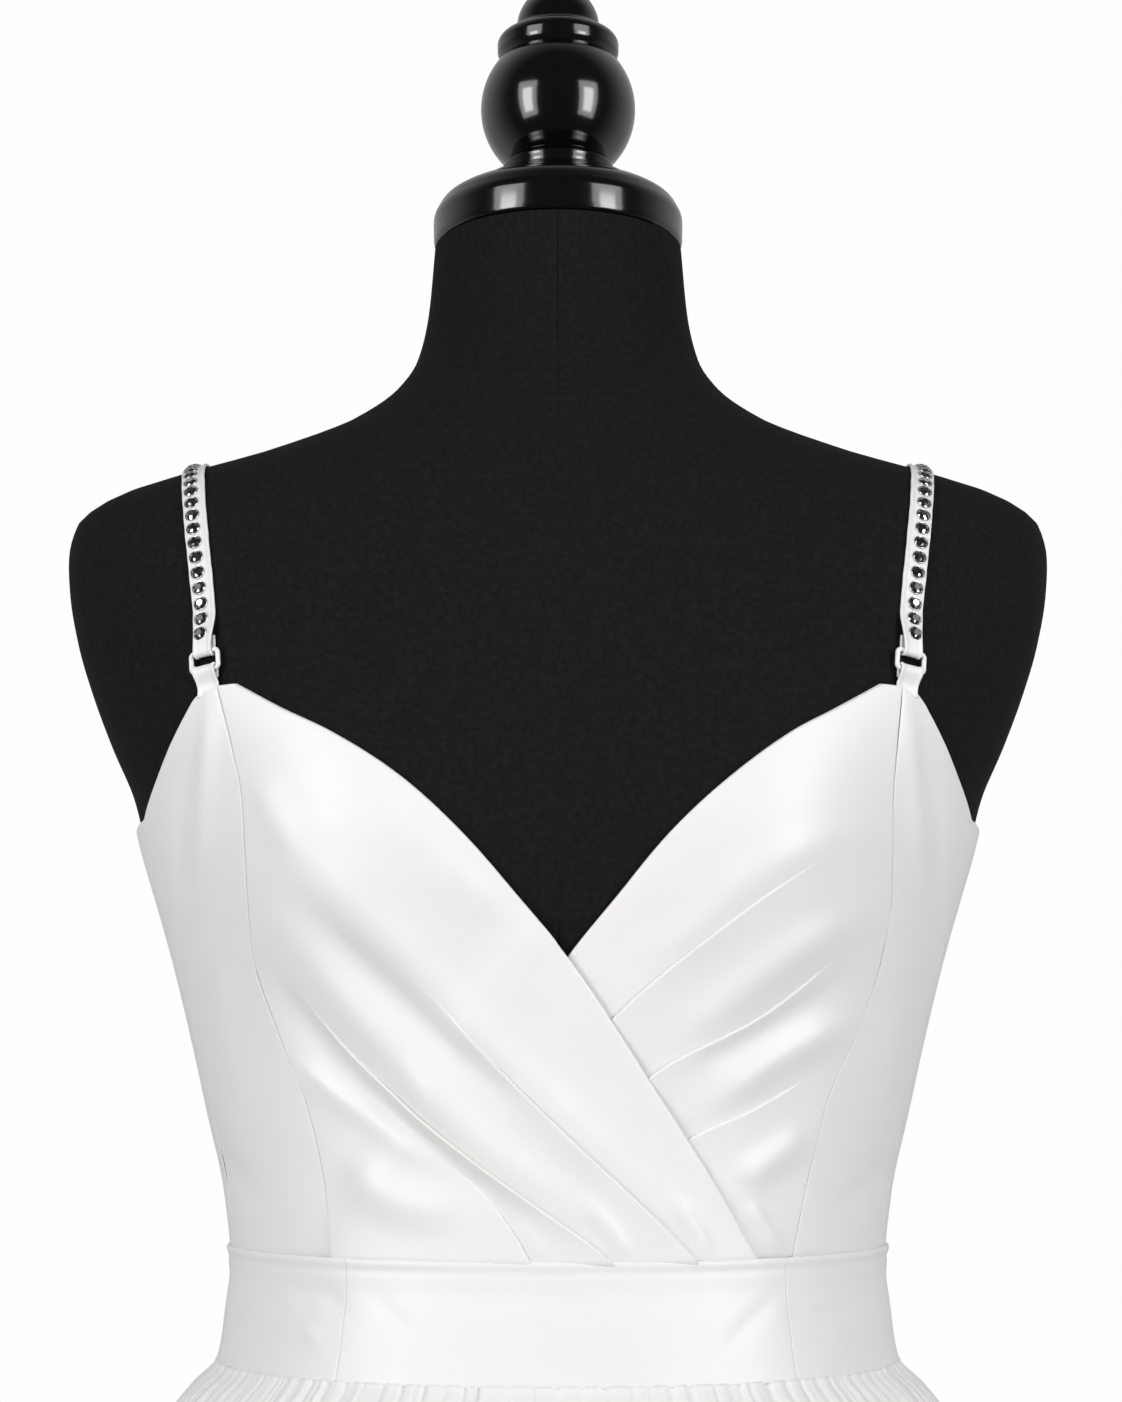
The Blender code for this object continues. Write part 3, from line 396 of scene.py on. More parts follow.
def outward(angle, z):
    """Unit normals of the form's surface."""
    small = 1e-3
    across = torso(angle + small, z) - torso(angle - small, z)
    up = torso(angle, z + 0.5) - torso(angle, z - 0.5)
    normal = np.cross(across, up)
    return normal / np.linalg.norm(normal, axis=-1, keepdims=True)


def over(angle, z, clear):
    """Points that lie clear of the form's surface by the given distance."""
    return torso(angle, z) + outward(angle, z) * np.asarray(clear)[..., None]


def angle_at(x, z):
    """The angle at which the front has the given x."""
    half_width, _, _, square = smooth_table(FORM_SECTIONS, z)
    share = np.clip(np.abs(x) / half_width, 0, 1)
    return np.sign(x) * np.arcsin(share ** (square / 2))


def waist_z(angle):
    """The waist seam's height: it dips in front and rises behind."""
    return WAIST["z"] + WAIST["tilt"] * torso(angle, WAIST["z"])[..., 1]


def wrap_x(z, side):
    return smooth_table(WRAP_EDGE, z)[0 if side < 0 else 1]


def front_seam_x(z, side):
    return side * smooth_table(FRONT_SEAMS, z)[0 if side < 0 else 1]


def band_clear(angle):
    """Room under the band, more in front, where the two fronts lie on top of each other."""
    end, change = math.radians(62), math.radians(30)
    return CLEAR + WAIST["front_lift"] * ramp((end - np.abs(angle)) / change)


# ---- materials

EVEN = (1, 1, 1)
MATERIALS = {
    # vary: socket, features for each metre, stretch, low and high value
    # bumps: features for each metre, stretch, strength, height; a weave's is in threads for each metre
    "satin": {
        "colour": (0.80, 0.795, 0.785), "roughness": 0.44,
        "sockets": {"Specular IOR Level": 0.6, "Sheen Weight": 0.15, "Sheen Roughness": 0.4},
        "vary": (("Base Color", 9.0, EVEN, (0.795, 0.785, 0.77), (0.825, 0.815, 0.80)),
                 ("Roughness", 900.0, (1, 1, 3), 0.40, 0.47)),
        "bumps": ((1800.0, (1, 1, 2.5), 0.12, 0.05), (60.0, EVEN, 0.10, 0.25))},
    "form_cloth": {
        "colour": (0.012, 0.012, 0.012), "roughness": 0.9, "sockets": {"Specular IOR Level": 0.18},
        "vary": (("Base Color", 500.0, EVEN, (0.005, 0.005, 0.005), (0.0095, 0.0095, 0.0098)),),
        "weave": (1300.0, 0.5, 0.15),
        "bumps": ((220.0, EVEN, 0.25, 0.3),)},
    "gloss_black": {
        "colour": (0.002, 0.002, 0.002), "roughness": 0.14,
        "sockets": {"Coat Weight": 1.0, "Coat Roughness": 0.10, "Coat IOR": 1.6},
        "bumps": ((45.0, EVEN, 0.02, 0.2),)},
    "stand_black": {
        "colour": (0.008, 0.008, 0.009), "roughness": 0.28, "sockets": {"Coat Weight": 0.3},
        "vary": (("Roughness", 30.0, EVEN, 0.22, 0.34),),
        "bumps": ((700.0, EVEN, 0.06, 0.1),)},
    "crystal": {
        "colour": (0.93, 0.94, 0.95), "roughness": 0.04, "sockets": {"Metallic": 1.0},
        "vary": (("Roughness", 600.0, EVEN, 0.02, 0.08),)},
    # A near-black copy of the crystal: painted dark reflection for the facets that would mirror dark
    # surroundings.
    "crystal_painted_dark_reflection": {
        "colour": (0.012, 0.012, 0.013), "roughness": 0.05,
        "sockets": {"Coat Weight": 1.0, "Coat Roughness": 0.02},
        "vary": (("Roughness", 600.0, EVEN, 0.03, 0.1),)},
    "stone_setting": {
        "colour": (0.62, 0.62, 0.63), "roughness": 0.18, "sockets": {"Metallic": 1.0},
        "vary": (("Roughness", 800.0, EVEN, 0.14, 0.3),)},
}
for enamelled in ("white_ring", "zip_white"):
    MATERIALS[enamelled] = {
        "colour": (0.82, 0.815, 0.805), "roughness": 0.22, "sockets": {"Coat Weight": 0.5},
        "vary": (("Roughness", 400.0, EVEN, 0.18, 0.28),),
        "bumps": ((900.0, EVEN, 0.05, 0.05),)}
FLOOR_COLOUR = (0.82, 0.82, 0.82)
NOISE_SPAN = (0.3, 0.7)     # the part of a noise that runs a socket from its low to its high value


def new_node(tree, kind, inputs=(), **settings):
    made = tree.nodes.new(kind)
    for name, value in settings.items():
        setattr(made, name, value)
    for name, value in dict(inputs).items():
        made.inputs[name].default_value = value
    return made


def new_material(name, colour, roughness, sockets=()):
    made = bpy.data.materials.new(name)
    made.use_nodes = True
    shader = made.node_tree.nodes["Principled BSDF"]
    shader.inputs["Base Color"].default_value = (*colour, 1)
    shader.inputs["Roughness"].default_value = roughness
    for socket, value in dict(sockets).items():
        shader.inputs[socket].default_value = value
    made.diffuse_color = (*colour, 1)
    return made


def own_place(tree, stretch=EVEN):
    """Places in the object's own space, stretched."""
    place = new_node(tree, "ShaderNodeTexCoord")
    mapping = new_node(tree, "ShaderNodeMapping", {"Scale": stretch})
    tree.links.new(place.outputs["Object"], mapping.inputs["Vector"])
    return mapping.outputs["Vector"]


def add_noise(tree, scale, stretch):
    noise = new_node(tree, "ShaderNodeTexNoise", {"Scale": scale, "Detail": 3.0})
    tree.links.new(own_place(tree, stretch), noise.inputs["Vector"])
    return noise.outputs["Fac"]


def add_weave(tree, threads):
    """Crossing threads as one height."""
    product = new_node(tree, "ShaderNodeMath", operation="MULTIPLY")
    place = own_place(tree)
    for number, direction in enumerate(("X", "Z")):
        wave = new_node(tree, "ShaderNodeTexWave", {"Scale": threads / 10, "Distortion": 1.2, "Detail": 1.0},
                        bands_direction=direction)
        tree.links.new(place, wave.inputs["Vector"])
        tree.links.new(wave.outputs["Fac"], product.inputs[number])
    return product.outputs["Value"]


def add_bump(tree, height, strength, distance):
    """Adds a bump on top of those that the material has."""
    normal = tree.nodes["Principled BSDF"].inputs["Normal"]
    bump_node = new_node(tree, "ShaderNodeBump", {"Strength": strength, "Distance": distance * MM})
    tree.links.new(height, bump_node.inputs["Height"])
    if normal.is_linked:
        tree.links.new(normal.links[0].from_socket, bump_node.inputs["Normal"])
    tree.links.new(bump_node.outputs["Normal"], normal)


def vary(tree, socket, source, low, high):
    """Runs a socket between two values (or colours) by a texture."""
    target = tree.nodes["Principled BSDF"].inputs[socket]
    if isinstance(low, tuple):
        blend = new_node(tree, "ShaderNodeValToRGB")
        for element, position, colour in zip(blend.color_ramp.elements, NOISE_SPAN, (low, high)):
            element.position = position
            element.color = (*colour, 1)
        tree.links.new(source, blend.inputs["Fac"])
        tree.links.new(blend.outputs["Color"], target)
        return
    blend = new_node(tree, "ShaderNodeMapRange", {"From Min": NOISE_SPAN[0], "From Max": NOISE_SPAN[1],
                                                  "To Min": low, "To Max": high})
    tree.links.new(source, blend.inputs["Value"])
    tree.links.new(blend.outputs["Result"], target)


def make_look(name, row):
    made = new_material(name, row["colour"], row["roughness"], row["sockets"])
    tree = made.node_tree
    for socket, scale, stretch, low, high in row.get("vary", ()):
        vary(tree, socket, add_noise(tree, scale, stretch), low, high)
    if "weave" in row:
        threads, strength, distance = row["weave"]
        add_bump(tree, add_weave(tree, threads), strength, distance)
    for scale, stretch, strength, distance in row.get("bumps", ()):
        add_bump(tree, add_noise(tree, scale, stretch), strength, distance)
    return made


LOOKS = {name: make_look(name, row) for name, row in MATERIALS.items()}


# ---- pieces

def add_piece(name, mesh, look, body=BODY, nodes=()):
    made = bpy.data.objects.new(name, mesh)
    bpy.context.scene.collection.objects.link(made)
    mesh.materials.append(LOOKS[look])
    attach(made, body)
    if nodes:
        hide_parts(*nodes)
    return made


def mesh_of(name, points, faces, smooth=True):
    mesh = bpy.data.meshes.new(name)
    mesh.from_pydata((np.asarray(points, float) * MM).tolist(), [], faces)
    mesh.validate()
    if smooth:
        mesh.shade_smooth()
    return mesh


def grid_faces(rows, columns, closed=False):
    """Faces of a grid of points; a closed one joins its last column to its first."""
    faces = []
    for row in range(rows - 1):
        for column in range(columns - (0 if closed else 1)):
            after = (column + 1) % columns
            here, above = row * columns, (row + 1) * columns
            faces.append((here + column, here + after, above + after, above + column))
    return faces


def cloth_piece(node, points):
    """One layer of satin whose outer face is a grid of points; it stands for a node of the frame."""
    rows, columns = points.shape[:2]
    faces = grid_faces(rows, columns)
    middle = points[rows // 2, columns // 2]
    face_normal = np.cross(points[rows // 2, columns // 2 + 1] - middle,
                           points[rows // 2 + 1, columns // 2] - middle)
    if face_normal @ (middle * (1, 1, 0)) < 0:
        faces = [face[::-1] for face in faces]
    name = "cloth_" + node
    made = add_piece(name, mesh_of(name, points.reshape(-1, 3), faces), "satin", nodes=(node,))
    shell = made.modifiers.new("thickness", "SOLIDIFY")
    shell.thickness = CLOTH * MM
    shell.offset = -1
    return made


def turned_in(distance, width, depth):
    """How far the cloth sinks as it turns in towards an edge."""
    share = np.clip(1 - distance / width, 0, 1)
    return -depth * (1 - np.sqrt(1 - share * share * 0.98))


def lengths(points, axis):
    """Distance run along a grid's axis from its start, for each point."""
    step = np.linalg.norm(np.diff(points, axis=axis), axis=-1)
    zero = np.zeros_like(np.take(step, [0], axis=axis))
    return np.concatenate([zero, np.cumsum(step, axis=axis)], axis=axis)


def edge_sink(points, kinds):
    """Sinking near the four borders: kinds holds (width, depth) for the first and last row and column."""
    down = lengths(points, 0)
    across = lengths(points, 1)
    distances = (down, down[-1:] - down, across, across[:, -1:] - across)
    total = np.zeros(points.shape[:2])
    for distance, kind in zip(distances, kinds):
        if kind:
            total = np.minimum(total, turned_in(distance, *kind))
    return total


# How the cloth turns in at a border: over this width, down by this depth.
SEAM_EDGE = (0.8, 0.40)
FLAT_SEAM_EDGE = (0.5, 0.12)
ZIP_EDGE = (1.1, 0.9)
HEM_EDGE = (1.3, 1.0)
TUCKED_EDGE = (3.0, 1.6)
BAND_TOP_EDGE = (1.1, 1.0)
BAND_LOW_EDGE = (0.9, 0.8)
TUCK = 1.8            # how far a panel runs on under the waistband


# ---- bodice

def overlap_lift(x, z):
    """How far the right front is lifted by the left one under it."""
    under = x - wrap_x(z, 1)
    low = (WAIST["z"] + OVERLAP["settle"] - z) / OVERLAP["settle"]
    lift = OVERLAP["lift"] + (OVERLAP["waist_lift"] - OVERLAP["lift"]) * ramp(low)
    return lift * ramp((under + OVERLAP["full"] + OVERLAP["ramp"]) / OVERLAP["ramp"])


def waist_point(x):
    return x, float(waist_z(angle_at(x, WAIST["z"])))


def fold_line(side, pleat, shares):
    """A pleat's folded edge in the front view, from the waist seam to the front seam."""
    seam = (float(front_seam_x(pleat["end_z"], side)), pleat["end_z"])
    return along_curve([waist_point(pleat["waist_x"]), *pleat["middle"], seam], shares)


# Grids: length along and step (mm) for the rows or columns, close together at the edges.
ALONG_FOLD = stations(150.0, 1.25)
BESIDE_TOP_FOLD = stations(60.0, 2.0, (0.0, 0.3, 0.7, 1.2, 1.9))
BETWEEN_FOLDS = stations(40.0, 1.7)
UNDER_FOLDS = stations(60.0, 2.0)
WAIST_ROWS = 12         # rows of a front that ease onto the waist seam
PEAK_COLUMNS = 4        # of the last row, the points along the front's short top edge


def pleat_columns(side, pleat, before, start_proud, between):
    """Columns from the last fold up to and over this one, and their heights."""
    fold = fold_line(side, pleat, ALONG_FOLD)
    along = np.gradient(fold, axis=0)
    to_neck = np.column_stack([-along[:, 1], along[:, 0]]) * side
    to_neck /= np.linalg.norm(to_neck, axis=1, keepdims=True)
    fade = 1 - ramp((ALONG_FOLD - pleat["crisp"]) / SOFTENS_OVER)
    flatter = (1 - fade)[:, None]
    closing = np.minimum(1, (1 - ALONG_FOLD) / CLOSES_OVER)[:, None]
    lip = [fold + to_neck * (crisp_step * (1 - flatter) + flat_step * flatter) * closing
           for crisp_step, flat_step, _ in LIP]
    columns = [before * (1 - share) + lip[0] * share for share in between[:-1]]
    reliefs = [start_proud * (1 - share) ** 1.5 for share in between[:-1]]
    reliefs += [pleat["proud"] * height * fade for _, _, height in LIP]
    return columns + lip, reliefs


def make_front(side, word):
    """One wrap front: its folds are rows of the grid, so that each has a crisp edge."""
    pleats = RIGHT_PLEATS if side < 0 else LEFT_PLEATS
    folds = RIGHT_FOLDS if side < 0 else LEFT_FOLDS
    heights = [*WRAP_EDGE[1:-1, 0], PEAK_Z]
    neck_edge = [waist_point(-side * WRAP_WAIST_X), *[(float(wrap_x(z, side)), z) for z in heights]]
    before = along_curve(neck_edge, ALONG_FOLD)
    start_proud = np.zeros(len(ALONG_FOLD))
    columns, reliefs = [], []
    for number, pleat in enumerate(pleats):
        between = BESIDE_TOP_FOLD if number == 0 else BETWEEN_FOLDS
        new_columns, new_reliefs = pleat_columns(side, pleat, before, start_proud, between)
        before, start_proud = new_columns.pop(), new_reliefs.pop()
        columns += new_columns
        reliefs += new_reliefs
    corner = np.array(waist_point(float(front_seam_x(FRONT_SEAMS[0, 0], side))))
    columns += [before * (1 - share) + corner * share for share in UNDER_FOLDS]
    reliefs += [start_proud * (1 - share) ** 1.5 for share in UNDER_FOLDS]
    relief = np.array(reliefs).T
    grid = fit_to_seam(np.array(columns).transpose(1, 0, 2), side)
    # The first row is the waist seam.
    seam = waist_z(angle_at(grid[0, :, 0], WAIST["z"])) - TUCK
    grid[:WAIST_ROWS, :, 1] += (seam - grid[0, :, 1]) * np.linspace(1, 0, WAIST_ROWS)[:, None]
    x, z = grid[..., 0], grid[..., 1]
    angle = angle_at(x, z)
    clear = CLEAR + WALL + fold_height(x, z, folds)
    if side < 0:
        clear = clear + overlap_lift(x, z) + relief
    else:
        clear = clear + relief * (1 - PRESSED["share"] * ramp((wrap_x(z, -1) + PRESSED["from"] - x)
                                                              / PRESSED["over"]))
    base = over(angle, z, np.full(x.shape, CLEAR + WALL))
    edges = edge_sink(base, (TUCKED_EDGE, SEAM_EDGE, HEM_EDGE, None))
    return cloth_piece("bodice_front_" + word, over(angle, z, clear + edges))


def fit_to_seam(grid, side):
    """Brings the grid's last row onto the short top edge and the front seam, and eases the rows before."""
    last = grid[-1].copy()
    top, top_count = PEAK_COLUMNS, len(BESIDE_TOP_FOLD) - 1
    last[:top + 1, 0] = np.linspace(last[0, 0], float(front_seam_x(PEAK_Z, side)), top + 1)
    last[:top + 1, 1] = PEAK_Z
    down = np.linspace(0, 1, top_count - top + 1)
    last[top:top_count + 1, 1] = PEAK_Z + (last[top_count, 1] - PEAK_Z) * down
    last[top + 1:, 0] = front_seam_x(last[top + 1:, 1], side)
    ease = ramp((np.linspace(0, 1, len(grid)) - 0.6) / 0.4)[:, None, None] ** 2
    return grid + (last - grid[-1])[None] * ease


def make_side(side, word):
    """The panel between a front seam and the side seam, its top edge curved for the armhole."""
    corner = waist_point(float(front_seam_x(FRONT_SEAMS[0, 0], side)))
    rise = stations(200.0, 2.0)[:, None]
    share = stations(55.0, 1.8)
    first = float(np.abs(angle_at(front_seam_x(PEAK_Z, side), PEAK_Z)))
    top_angle = first * (1 - share) + SIDE_ANGLE * share
    # The height of the arm edge depends on how far out the form is there, so it is closed in on.
    top = np.full(share.shape, PEAK_Z)
    for _ in range(30):
        reached = np.interp(over(top_angle, top, CLEAR + WALL)[:, 0], ARM_EDGE[:, 0], ARM_EDGE[:, 1])
        top = (top + reached) / 2
    low_angle = float(np.abs(angle_at(*corner))) * (1 - share) + SIDE_ANGLE * share
    bottom = waist_z(low_angle) - TUCK
    z = bottom + (top - bottom) * rise
    start = np.abs(angle_at(front_seam_x(z[:, 0], side), z[:, 0]))[:, None]
    angle = (start * (1 - share) + SIDE_ANGLE * share) * side
    base = over(angle, z, np.full(z.shape, CLEAR + WALL))
    soft = fold_height(base[..., 0], z, SIDE_FOLDS)
    edges = edge_sink(base, (None, HEM_EDGE, SEAM_EDGE, FLAT_SEAM_EDGE))
    return cloth_piece("bodice_side_" + word, over(angle, z, CLEAR + WALL + soft + edges))


def back_top(angle):
    """The top edge of the backs."""
    share = np.clip((np.abs(angle) - SIDE_ANGLE) / (math.pi - SIDE_ANGLE), 0, 1)
    rise = (BODICE_BACK_TOP - BODICE_SIDE_TOP) * ramp(1.5 * share)
    return BODICE_SIDE_TOP + rise - BODICE_BACK_DIP * np.sin(math.pi * share)


def make_back(side, word):
    """One back, from the side seam to the zip, with a few soft drag lines."""
    angle = (SIDE_ANGLE + (math.pi - SIDE_ANGLE - ZIP_GAP) * stations(170.0, 2.2)) * side
    bottom = waist_z(angle) - TUCK
    z = bottom + (back_top(angle) - bottom) * stations(165.0, 2.2)[:, None]
    angle = np.broadcast_to(angle, z.shape)
    base = over(angle, z, np.full(z.shape, CLEAR + WALL))
    soft = fold_height(base[..., 0] * side, z, BACK_FOLDS)
    edges = edge_sink(base, (None, HEM_EDGE, FLAT_SEAM_EDGE, ZIP_EDGE))
    return cloth_piece("bodice_back_" + word, over(angle, z, CLEAR + WALL + soft + edges))


# ---- waistband and skirt

def make_band(node, first, last):
    """One piece of the waistband, with a rolled top edge and a shallow hollow below it."""
    angle = first + (last - first) * stations(abs(last - first) * BAND["radius"], 1.6)
    share = stations(WAIST["band"], 1.0)[:, None]
    around = angle * BAND["wave_radius"]
    wobble = BAND_WOBBLE["height"] * uneven(around / BAND_WOBBLE["wave"], BAND_WOBBLE["seed"])
    z = waist_z(angle) - WAIST["band"] * share + wobble * (1 - ramp(share / BAND_WOBBLE["dies_in"]))
    angle = np.broadcast_to(angle, z.shape)
    clear = band_clear(angle) + BAND_WALL + BAND["proud"]
    for height, place, reach in BAND_RELIEF:
        clear = clear + height * np.exp(-((share - place) / reach) ** 2)
    for (height, wave, seed, dies_in), away in zip(BAND_PUCKERS, (share, 1 - share)):
        clear = clear + height * uneven(around / wave, seed) * np.exp(-away / dies_in)
    base = over(angle, z, clear)
    soft = fold_height(base[..., 0], z, BAND_FOLDS) * (np.cos(angle) > 0)
    edges = edge_sink(base, (BAND_TOP_EDGE, BAND_LOW_EDGE, FLAT_SEAM_EDGE, FLAT_SEAM_EDGE))
    return cloth_piece(node, over(angle, z, clear + soft + edges))


def gather_height(turn, drop):
    """Gathers as rounded puffs with narrow creases between, none like the next."""
    phase = GATHER["count"] * turn + 1.3 * uneven(turn * 14, 2.0) + 0.8 * uneven(turn * 31, 5.0)
    phase = phase - 2.7 * ramp(drop / 40) * np.sin(turn)
    puff = np.abs(np.sin(phase / 2)) ** GATHER["sharp"]
    return (puff - GATHER["mean"]) * (GATHER["depth"] + GATHER["vary"] * uneven(turn * 22, 9.0))


def skirt_grid(first, last, hem):
    """Drops below the band and turns round the waist, with close rows at the seam and the hem."""
    columns = round((last - first) / (2 * math.pi) * SKIRT_GRID["round_waist"])
    turn = first + (last - first) * np.linspace(0, 1, columns)
    near = np.arange(SKIRT_GRID["near_from"], SKIRT_GRID["near_to"], SKIRT_GRID["near_step"])
    far = np.linspace(SKIRT_GRID["near_to"], hem - SKIRT_GRID["hem_from"], SKIRT_GRID["far_rows"])
    drops = [SKIRT_GRID["seam_rows"], near, far, hem - np.array(SKIRT_GRID["hem_rows"])]
    return np.meshgrid(np.concatenate(drops), turn, indexing="ij")


def make_skirt_piece(node, first, last):
    """One skirt piece between two turns round the waist."""
    hem = SKIRT[-1, 0]
    drop, turn = skirt_grid(first, last, hem)
    spread, gather, fold, wave = smooth_table(SKIRT, drop)
    share = 1 + UNEVEN["depth"] * np.sin(7 * turn + 0.6) * np.sin(3 * turn + 2.0)
    lean = UNEVEN["lean_fine"] * np.sin(11 * turn + 1.0) + UNEVEN["lean_broad"] * np.sin(5 * turn)
    angle = turn + lean * ramp(drop / UNEVEN["lean_by"])
    level = waist_z(angle) - WAIST["band"]
    rim = over(angle, level, band_clear(angle) + SKIRT_WALL + RIM_PROUD)
    out = outward(angle, level)
    out[..., 2] = 0
    out /= np.linalg.norm(out, axis=-1, keepdims=True)
    from_line = drop - (hem - HEM["turned_up"])
    hem_line = -HEM["line"] * np.exp(-(from_line / HEM["line_reach"]) ** 2)
    pucker = HEM["pucker"] * uneven(turn * HEM["pucker_waves"], 3.0)
    pucker = pucker * np.exp(-(from_line / HEM["pucker_reach"]) ** 2)
    at_seam = GATHER["seam"] + GATHER["rise"] * ramp(drop / GATHER["full_at"])
    fine = np.where(drop < GATHER["full_at"], at_seam, GATHER["share"] * gather)
    stand = (spread + fine * gather_height(turn, drop)
             + fold * share * np.cos(GATHERS / 2 * turn + 0.8 + 0.5 * uneven(turn * 9, 3.0))
             + wave * share * np.cos(GATHERS / 4 * turn + UNEVEN["shift"] * np.sin(3 * turn + 0.7))
             + hem_line + pucker - HEM["roll"] * np.exp(-(hem - drop) / HEM["roll_reach"]))
    points = rim + out * stand[..., None]
    points[..., 2] = level - drop + TUCK * np.exp(-drop / 0.6)
    return cloth_piece(node, points)


# ---- straps, rings, stones

def inside_form(x, y, z):
    half_width, front, back, square = (float(value) for value in smooth_table(FORM_SECTIONS, z))
    depth = front + float(bust(np.array(x), np.array(z))) if y < 0 else back
    return z < FORM_SECTIONS[-1, 0] and (abs(x) / half_width) ** square + (abs(y) / depth) ** square < 1


def form_at(x, tilt):
    """The form's surface at x, seen from the centre of the strap's arc at a tilt above the front."""
    def at(reach):
        return np.array((x, -reach * math.cos(tilt), STRAP_ARC["centre_z"] + reach * math.sin(tilt)))

    near, far = 20.0, 160.0
    while far - near > 1e-4:
        middle = (near + far) / 2
        if inside_form(*at(middle)):
            near = middle
        else:
            far = middle
    return at(near)


def strap_line(side):
    line = []
    for tilt in np.linspace(STRAP_ARC["first"], STRAP_ARC["last"], STRAP["points"]):
        share = tilt / math.pi
        x = STRAP["x"] + (STRAP["shoulder_x"] - STRAP["x"]) * ramp(share / STRAP_ARC["shoulder"])
        x += (STRAP["back_x"] - STRAP["shoulder_x"]) * ramp((share - STRAP_ARC["top"]) / STRAP_ARC["top"])
        line.append(form_at(side * x, tilt))
    return np.array(line)


def frames_along(line):
    """The ways along, out of and across the strap at each point of its line."""
    along = np.gradient(line, axis=0)
    along /= np.linalg.norm(along, axis=1, keepdims=True)
    step = 2.0
    out = []
    for (x, y, z), direction in zip(line, along):
        rise = z - STRAP_ARC["centre_z"]
        tilt = math.atan2(rise, -y)
        beside = form_at(x + step, tilt) - form_at(x - step, tilt)
        normal = np.cross(direction, beside)
        out.append(normal / np.linalg.norm(normal) * np.sign(normal @ np.array((0, y, rise))))
    out = np.array(out)
    return along, out, np.cross(along, out)


def strap_section(width):
    """The outline of a strap, a flat band with a rolled edge on each side, as (across, up)."""
    roll = STRAP_EDGE["roll"]
    middle = width / 2 - roll
    flat = np.linspace(middle - roll, roll - middle, 7)
    section = [(middle + roll * math.cos(turn), roll * math.sin(turn))
               for turn in np.linspace(-math.pi * 0.85, math.pi * 0.65, 9)]
    section += [(place, STRAP_EDGE["face"]) for place in flat]
    section += [(roll * math.cos(turn) - middle, roll * math.sin(turn))
                for turn in np.linspace(math.pi * 0.35, math.pi * 1.85, 9)]
    return section + [(place, -STRAP_EDGE["back"]) for place in flat[::-1]]


def ribbon_piece(node, middle, out, across, widths):
    """A strap or tab along a line of points, closed at both ends."""
    points = []
    for index, (point, normal, side, width) in enumerate(zip(middle, out, across, widths)):
        swell = 1 + 0.012 * math.sin(index * 1.9) + 0.01 * math.sin(index * 0.83 + 1)
        for wide, high in strap_section(width * swell):
            points.append(point + side * wide + normal * high)
    count = len(strap_section(widths[0]))
    faces = grid_faces(len(middle), count, closed=True)
    faces.append(tuple(range(count))[::-1])
    faces.append(tuple(range((len(middle) - 1) * count, len(middle) * count)))
    name = "cloth_" + node
    mesh = mesh_of(name, points, faces)
    shape = bmesh.new()
    shape.from_mesh(mesh)
    bmesh.ops.recalc_face_normals(shape, faces=shape.faces)
    shape.to_mesh(mesh)
    shape.free()
    return add_piece(name, mesh, "satin", nodes=(node,))


def loop_round(bar, start, turned_to):
    """The half turn of a strap or tab round its bar: its points, and the way out at each."""
    turns = np.linspace(0, math.pi, 17)[1:]
    out = [start * math.cos(turn) + turned_to * math.sin(turn) for turn in turns]
    return [bar + direction * LOOP["radius"] for direction in out], out


def make_strap(side, word):
    """The strap with its row of stones, and the ring and tab at its front end."""
    rise = STRAP["clear"] + STRAP["thick"] / 2
    back_stop = float(back_top(math.pi - angle_at(STRAP["back_x"], BODICE_BACK_TOP)))
    line = strap_line(side)
    along, out, across = frames_along(line)
    bar = line[0] + out[0] * RING["proud"]
    reach = np.linalg.norm(line - line[0], axis=1)
    height = rise + (RING["proud"] + LOOP["radius"] - rise) * ramp(1 - reach / STRAP["rises_in"])
    kept = (line[:, 1] < 0) | (line[:, 2] > back_stop + 0.5)
    down = (line + out * height[:, None])[kept][::-1]
    fold, fold_out = loop_round(bar, out[0], -along[0])
    tail = [bar - out[0] * LOOP["radius"] + along[0] * step for step in LOOP["tail"]]
    normals = [*out[kept][::-1], *fold_out, *[-out[0]] * len(tail)]
    sides = [*across[kept][::-1], *[across[0]] * (len(fold) + len(tail))]
    narrow = ramp(1.4 - reach[kept][::-1] / STRAP["narrows_in"])
    widths = [*(STRAP["width"] + (LOOP["width"] - STRAP["width"]) * narrow),
              *[LOOP["width"]] * (len(fold) + len(tail))]
    strap = ribbon_piece("strap_" + word, [*down, *fold, *tail], normals, sides, widths)
    make_stones(word, down[::-1], out[kept], across[kept] * side)

    up, normal, beside = along[0], out[0], across[0]
    half = RING["height"] / 2 - RING["wire"]
    make_ring(word, bar - up * half, beside, up)
    low_bar = bar - up * 2 * half
    front = [low_bar + normal * (LOOP["radius"] - TAB["sink"] * ramp(step / TAB["sinks_in"])) - up * step
             for step in TAB["steps"]]
    fold, fold_out = loop_round(low_bar, normal, up)
    middle = [*front, *fold, low_bar - normal * LOOP["radius"] - up * LOOP["tail"][0]]
    normals = [*[normal] * len(front), *fold_out, -normal]
    count = len(middle)
    tab = ribbon_piece("tab_" + word, middle, normals, [beside] * count, [TAB["width"]] * count)
    return {"strap_" + word: strap, "tab_" + word: tab}


